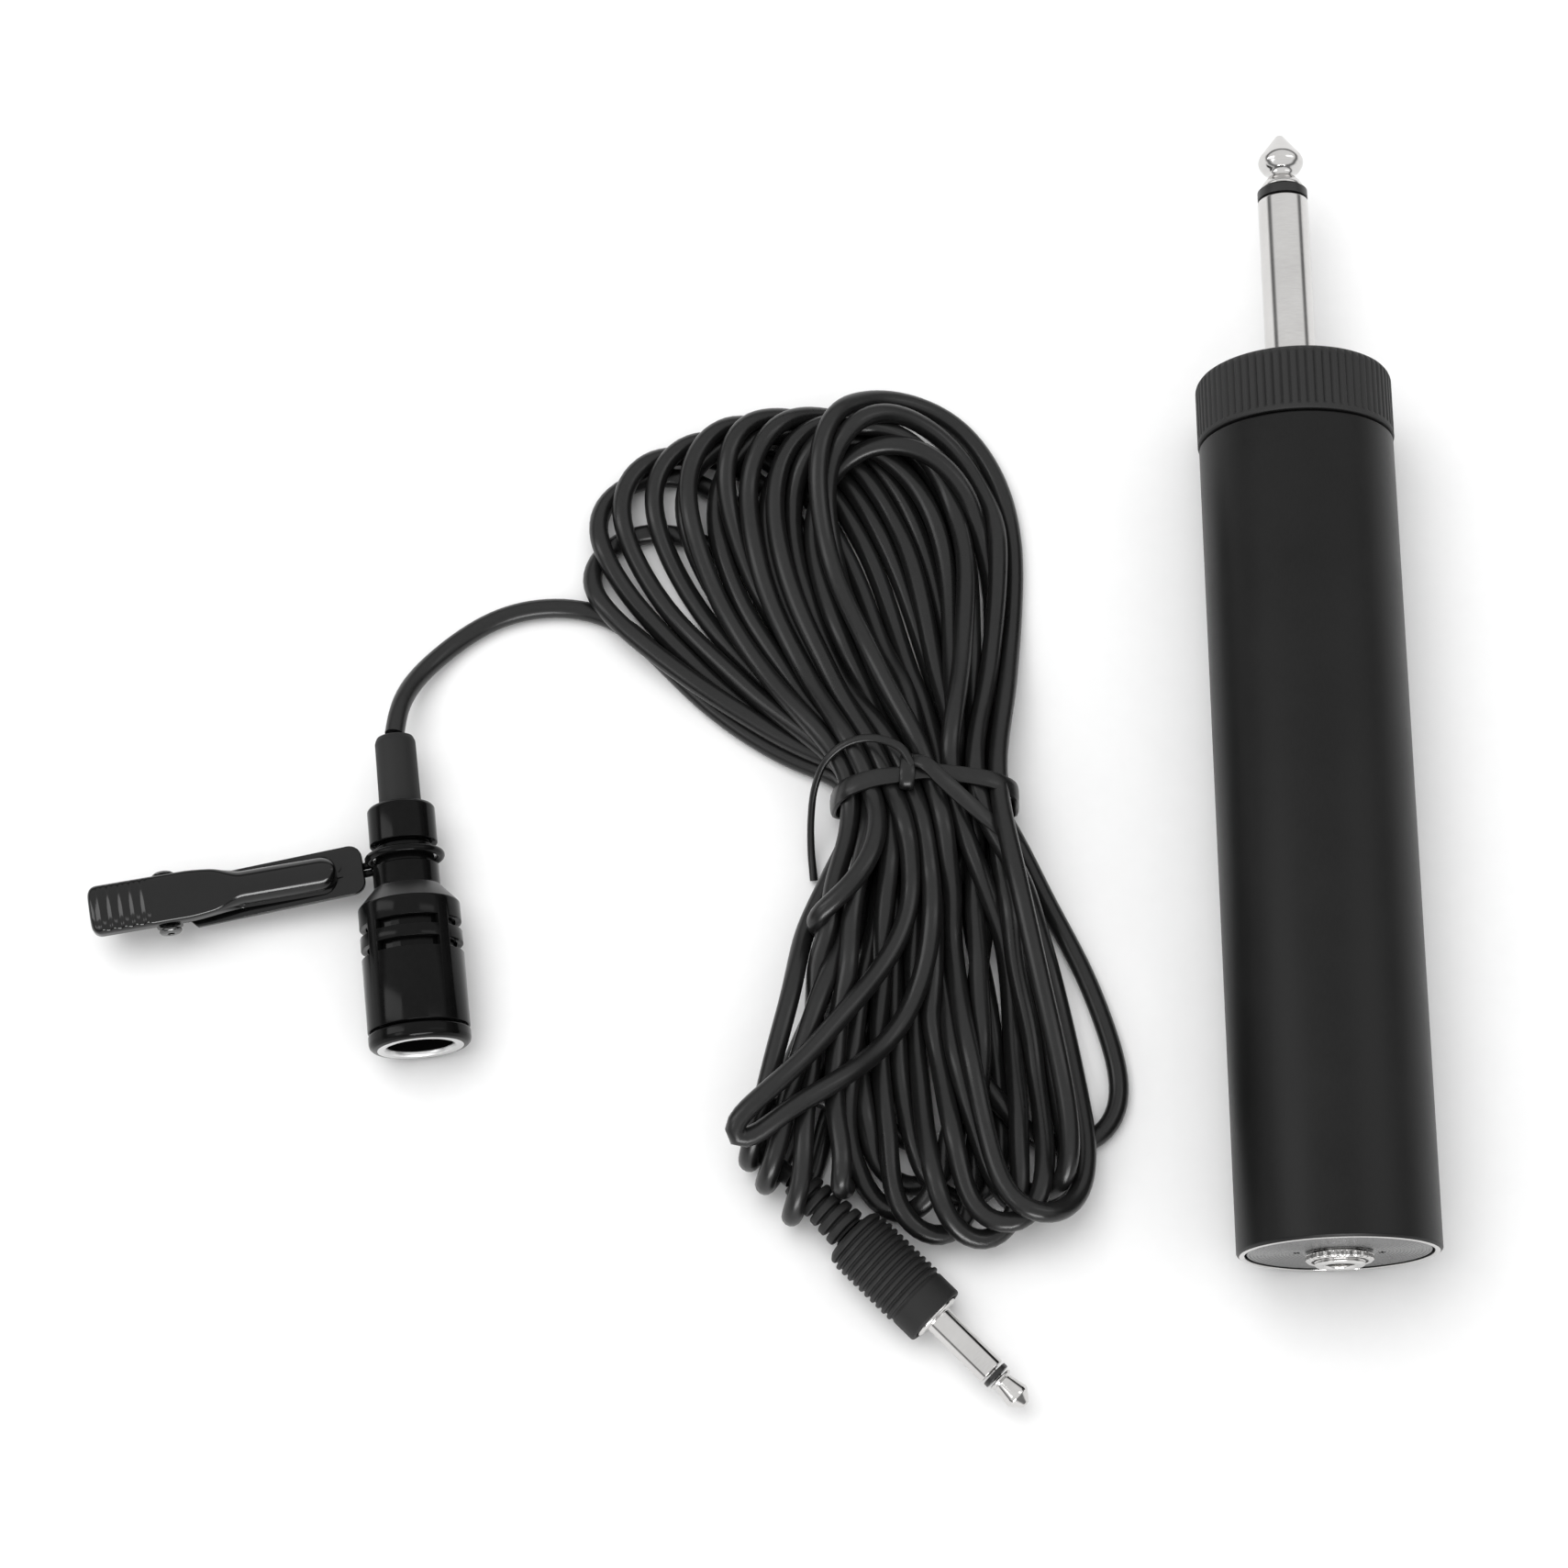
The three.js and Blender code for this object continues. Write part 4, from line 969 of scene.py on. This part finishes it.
# The lever is pressed from sheet: a wide ribbed finger pad, a waist, and a narrow round-backed channel.
LEVER_SKIRT = 0.9
LEVER_TOP = 2.9
PAD_END = -9.2
JAW_END = 20.9
SHEET = 0.65
RIDGE_SHARE = 0.8  # of the section; the rest is the flange along the ridge's foot
WAIST_RUN = (2.3, 9.6)  # where the pad narrows
CHANNEL_RUN = (5.6, 9.6)  # where the flat sheet turns into the ridge
JAW_HALF = 2.45
PAD_CORNER = 1.2
JAW_CORNER = 2.0
EDGE_CURVE = 0.7
RIBS = 5
RIB_FIRST = -7.75
RIB_PITCH = 1.35
RIB_HALF = 0.62
RIB_HEIGHT = 0.22
RIB_FADE = (0.45, 0.88)
SECTION_POWER = 0.32  # how square the flat sheet's section is


def smooth_step(x, start, end):
    t = min(1.0, max(0.0, (x - start) / (end - start)))
    return t * t * (3 - 2 * t)


def lever_half_width(x):
    half = CLIP_HALF + (JAW_HALF - CLIP_HALF) * smooth_step(x, *WAIST_RUN)
    for inwards, corner in ((x - PAD_END, PAD_CORNER), (JAW_END - x, JAW_CORNER)):
        if inwards < corner:
            half -= corner - sqrt(max(0.0, corner ** 2 - (corner - inwards) ** 2))
    return max(half, 0.05)


def lever_top(x, across, part):
    """The sheet's height. Both across, over the width, and part, along the section, run from -1 to 1."""
    channel = smooth_step(x, *CHANNEL_RUN)
    flat = LEVER_TOP - 0.28 * abs(across) ** 2.2
    height = flat * (1 - channel) + (LEVER_TOP + 0.25) * channel
    for k in range(RIBS):
        away = abs(x - RIB_FIRST - RIB_PITCH * k)
        swell = 0.5 + 0.5 * cos(pi * min(1.0, away / RIB_HALF))
        height += RIB_HEIGHT * swell * (1 - smooth_step(abs(part), *RIB_FADE))
    return height


def lever_pressing():
    stations = ([PAD_END + 0.02 + PAD_CORNER * (1 - cos(a)) for a in np.linspace(0, pi / 2, 8)]
                + list(np.linspace(-7.9, JAW_END - 2.1, 220))
                + [JAW_END - 0.02 - JAW_CORNER * (1 - cos(a)) for a in np.linspace(pi / 2, 0, 10)])
    stations = sorted(set(round(s, 4) for s in stations))
    count = 56
    verts = []
    for x in stations:
        half = lever_half_width(x)
        channel = smooth_step(x, *CHANNEL_RUN)
        skirt = LEVER_SKIRT - 0.25 * channel
        edge = min(x - PAD_END, JAW_END - x)
        drop = EDGE_CURVE * (1 - sqrt(max(0.0, 1 - max(0.0, 1 - edge / EDGE_CURVE) ** 2)))
        for k in range(count + 1):
            part = 2 * k / count - 1
            angle = part * pi / 2
            across = copysign(abs(sin(angle)) ** SECTION_POWER, part)
            up = max(0.0, cos(angle)) ** SECTION_POWER
            # the channel is a round-backed ridge with a narrow flange along its foot
            round_part = min(1.0, abs(part) / RIDGE_SHARE)
            lean = round_part * pi / 2 * 0.97
            beyond = max(0.0, abs(part) - RIDGE_SHARE) / (1 - RIDGE_SHARE)
            ridge_across = copysign(0.84 * sin(lean) + 0.16 * beyond, part)
            ridge_up = cos(lean) ** 0.85 * (1 - beyond)
            across += (ridge_across - across) * channel
            up += (ridge_up - up) * channel
            top = lever_top(x, across, part) - drop
            verts.append((x, half * across, skirt + (top - skirt) * up))
    rows = len(stations)
    faces = []
    width = count + 1
    for i in range(rows - 1):
        for k in range(count):
            a = i * width + k
            faces.append([a, a + 1, a + width + 1, a + width])
    for row, sign in ((0, 1), (rows - 1, -1)):
        start = len(verts)
        for k in range(width):
            x, y, _ = verts[row * width + k]
            verts.append((x - 0.02 * sign, y, LEVER_SKIRT))
        for k in range(count):
            a = row * width + k
            faces.append([a, a + 1, start + k + 1, start + k])
    return verts, faces


lever = make("lever_sheet", *lever_pressing(), LEVER, 50)
thick = lever.modifiers.new("sheet", "SOLIDIFY")
thick.thickness = SHEET * MM
thick.offset = -1
thick.use_even_offset = False
bake(lever, 50)
lever_lug = arc(0, 0, 1.6, 180, 360, 14) + [(1.6, 1.5), (-1.6, 1.5)]
lever = merge("clip_lever_pressed", lever,
              *lug_pair("lever_lug", lever_lug, CLIP_HALF - SHEET, CLIP_HALF, LEVER, LEVER_EDGE))
dress(lever, CLIP_LOOK)
settle(lever, "clip_lever", "gloss_black_metal", "clip_lever")


# ---- the battery adapter

TUBE_END = 101.3
tube = lathe("adapter_tube_turned", [
    (11.0, 0.12), (11.12, 0), (11.62, 0), (12.0, 0.35), (12.0, 101.1), (11.85, TUBE_END), (11.3, TUBE_END),
    (11.3, 99.7), (10.5, 99.7), (10.5, 4.2), (11.0, 4.2)], ADAPTER, segments=160)
# The flat front face inside the chamfer is given the nickel finish as a painted reflection. It stands in for
# the bright edge that the rim's curve reflects.
paint(tube, LOOKS["satin_black_metal"], LOOKS["nickel"], lambda y, r: y < 0.1 and r < 11.66)
settle(tube, "adapter", "satin_black_metal", "adapter_tube")

# The end disc keeps the fine grooves that its turning left.
DISC_FACE = 0.2
DISC_R = 10.85
GROOVE_STEP = 0.42
disc_rows = [(3.3, 3.9), (3.3, DISC_FACE)]
radius = 4.4
while radius < DISC_R - 0.5:
    disc_rows += [(radius, DISC_FACE), (radius + 0.11, DISC_FACE + 0.09), (radius + 0.22, DISC_FACE)]
    radius += GROOVE_STEP
disc_rows += [(DISC_R - 0.15, DISC_FACE), (DISC_R, DISC_FACE + 0.15), (DISC_R, 3.9)]
disc = lathe("adapter_end_disc_turned", disc_rows, ADAPTER, segments=128, round_by=0.03)
for x in (-5.0, 5.0):
    hole = lathe("hole", disc_profile(0.42, -0.5, 3.0), ADAPTER @ shift(x, 0, 0), segments=24, closed=False,
                 round_by=0.01)
    carve(disc, hole)
settle(disc, "adapter", "turned_aluminium", "end_disc")

turned("adapter_jack_bush_threaded", "adapter", "nickel", "jack_bush", [
    (2.05, -1.4), (2.75, -1.4), (3, -1.2), (3, -1.1), (2.86, -1), (3, -0.9), (3, -0.8),
    (3.0, 4.3), (4.0, 4.3), (4.0, 5.0), (1.8, 5.0), (1.8, -1.15)], ADAPTER, round_by=0.07)


def coin_edge(r, y, angle):
    return r - 0.16 * (0.5 + 0.5 * cos(24 * angle)) if r > 3.7 and -0.8 < y < -0.2 else r


turned("adapter_jack_nut_knurled", "adapter", "nickel", "jack_nut", [
    (3.3, -0.9), (3.75, -0.9), (4, -0.7), (4, -0.5), (4, -0.3), (4, -0.1), (3.3, -0.1)], ADAPTER,
    segments=240, dent=coin_edge, round_by=0.08, sharp=60)

CAP_START = 101.6
CAP_FRONT = 110.2
CAP_WALL = 107.2
CAP_R = 12.15
KNURLS = 72


def cap_grooves(r, y, angle):
    """Straight grooves along the cap's side, cut from just above the seam to the rounded front."""
    if r < 11.6:
        return r
    share = cos(KNURLS * angle)
    depth = 0.24 * max(0.0, (share - 0.45) / 0.55) ** 0.6
    fade_in = smooth_step(y, CAP_START + 0.5, CAP_START + 0.9)
    fade_out = smooth_step(y, CAP_FRONT - 1.0, CAP_FRONT - 0.3)
    return r - depth * (fade_in * (1 - fade_out))


cap = lathe("adapter_cap_knurled", [
    (8, 95.3), (10.2, 95.3), (10.2, 99.4), (9.9, 99.4), (9.9, CAP_START), (12, CAP_START),
    (CAP_R, CAP_START + 0.15), (CAP_R, CAP_START + 0.5), (CAP_R, CAP_START + 0.9), (CAP_R, 105.0),
    (CAP_R, CAP_FRONT - 1.6), (CAP_R, CAP_FRONT - 1.15), (12.02, CAP_FRONT - 0.75), (11.75, CAP_FRONT - 0.38),
    (11.3, CAP_FRONT - 0.1), (10.8, CAP_FRONT), (4.6, CAP_FRONT), (4.3, CAP_FRONT - 0.3), (4.3, CAP_WALL),
    (8.0, CAP_WALL)], ADAPTER, segments=KNURLS * 8, dent=cap_grooves, sharp=60)
dress(cap, KNURL_LOOK)
settle(cap, "cap", "satin_black_metal", "screw_cap")

TIP_END = CAP_FRONT + 2.5 + 31.2
turned("big_plug_shaft", "cap", "nickel", "big_plug_sleeve", [
    (1.7, CAP_WALL - 4), (4.0, CAP_WALL - 4), (4.0, CAP_FRONT + 0.3), (4.75, CAP_FRONT + 0.3),
    (4.75, CAP_FRONT + 2.2), (4.45, CAP_FRONT + 2.5), (3.175, CAP_FRONT + 2.5), (3.175, TIP_END - 9.3),
    (1.7, TIP_END - 9.3)], ADAPTER, round_by=0.14)
turned("big_plug_ring", "cap", "black_plastic", "big_plug_insulator",
    ring_profile(3.15, 1.5, TIP_END - 9.0, TIP_END - 7.8), ADAPTER,
                 round_by=0.1)
turned("big_plug_point", "cap", "nickel", "big_plug_tip", [
    (0, 100.9), (2.5, 100.9), (2.5, 102.5), (1.2, 102.5), *((r, TIP_END - back) for r, back in (
        (1.2, 7.5), (2.7, 7.5), (2.7, 7.2), (2.2, 6.4), (1.75, 6), (1.75, 5.4), (2.35, 4.9), (2.8, 4.2),
        (2.9, 3.6), (2.7, 3), (0.55, 0.15), (0.4, 0), (0, 0)))], ADAPTER,
    closed=False, round_by=0.28)


# ---- finishes of the CAD nodes that still show

INNER_LOOKS = {
    "foam_disc": "dark_foam", "capsule_holder": "gloss_black_metal", "electret_capsule": "turned_aluminium",
    "capsule_board": "green_board", "jack_body": "black_plastic", "jack_contact": "brass",
    "circuit_board": "green_board", "coupling_capacitor": "black_plastic", "bias_resistor": "ivory_plastic",
    "spring_plate": "black_plastic", "contact_spring": "nickel", "battery_sleeve": "ivory_plastic",
    "battery_cell": "cell_jacket", "battery_terminal": "nickel", "cap_seal": "black_rubber",
    "plug_nut": "nickel",
}
for name, look in INNER_LOOKS.items():
    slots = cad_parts[name].material_slots
    slots[0].link = "OBJECT"
    slots[0].material = LOOKS[look]


# ---- floor and light

bpy.ops.mesh.primitive_plane_add(size=6)
floor = bpy.context.object
floor.name = "floor"
floor.location = (0, 0, -0.0001)
floor.data.materials.append(finish("pale_floor", 0.90, 0.92, (0.85, 0.95), specular=0.1,
                                   grain=(400, 0.0)))


def area_light(name, place, target, size, power, glossy=True, diffuse=True):
    data = bpy.data.lights.new(name, "AREA")
    data.shape = "RECTANGLE"
    data.size, data.size_y = size
    data.energy = power
    made = add(name, data)
    made.location = place
    made.rotation_euler = (Vector(target) - Vector(place)).to_track_quat("-Z", "Y").to_euler()
    made.visible_glossy = glossy
    made.visible_diffuse = diffuse


# The soft key whitens the table without showing in the gloss.
area_light("key", (-0.25, 0.15, 0.9), (0, 0, 0), (0.7, 0.7), 4.6, glossy=False)
# The cards only show in the gloss: place, what they face, size and power.
for name, *card in (("left_card", (-0.55, 0.05, 0.42), (0, 0, 0), (0.14, 0.5), 0.7),
                    ("right_card", (0.55, 0.05, 0.62), (0, 0, 0), (0.12, 0.5), 0.4),
                    ("front_card", (0.06, -0.60, 0.17), (-0.05, 0, 0), (0.34, 0.15), 2.3),
                    ("corner_card", (-0.42, -0.26, 0.42), (0, -0.07, 0), (0.16, 0.16), 0.22)):
    area_light(name, *card, diffuse=False)

world = bpy.data.worlds.new("studio")
world.use_nodes = True
bpy.context.scene.world = world
sky = world.node_tree
sky.nodes.clear()
sky_out = node(sky, "ShaderNodeOutputWorld")
background = node(sky, "ShaderNodeBackground")
direction = node(sky, "ShaderNodeTexCoord")
split = node(sky, "ShaderNodeSeparateXYZ")
ramp = node(sky, "ShaderNodeValToRGB")
height = node(sky, "ShaderNodeMath", operation="ABSOLUTE")
join(direction, "Generated", split, "Vector")
join(split, "Z", height, 0)
join(height, "Value", ramp, "Fac")
join(ramp, "Color", background, "Color")
join(background, "Background", sky_out, "Surface")
# The sky is bright, with a dark ring a little above the horizon: height, from 0 to 1, and grey.
SKY_ENDS = ((0.0, 0.85), (1.0, 0.95))
SKY_RING = ((0.06, 0.8), (0.12, 0.2), (0.28, 0.2), (0.42, 0.95))
stops = ramp.color_ramp.elements
for stop, (place, value) in zip(stops, SKY_ENDS):
    stop.position = place
    stop.color = (*grey(value), 1)
for place, value in SKY_RING:
    stops.new(place).color = (*grey(value), 1)

bpy.context.scene.view_settings.view_transform = "Standard"
bpy.context.scene.view_settings.look = "None"
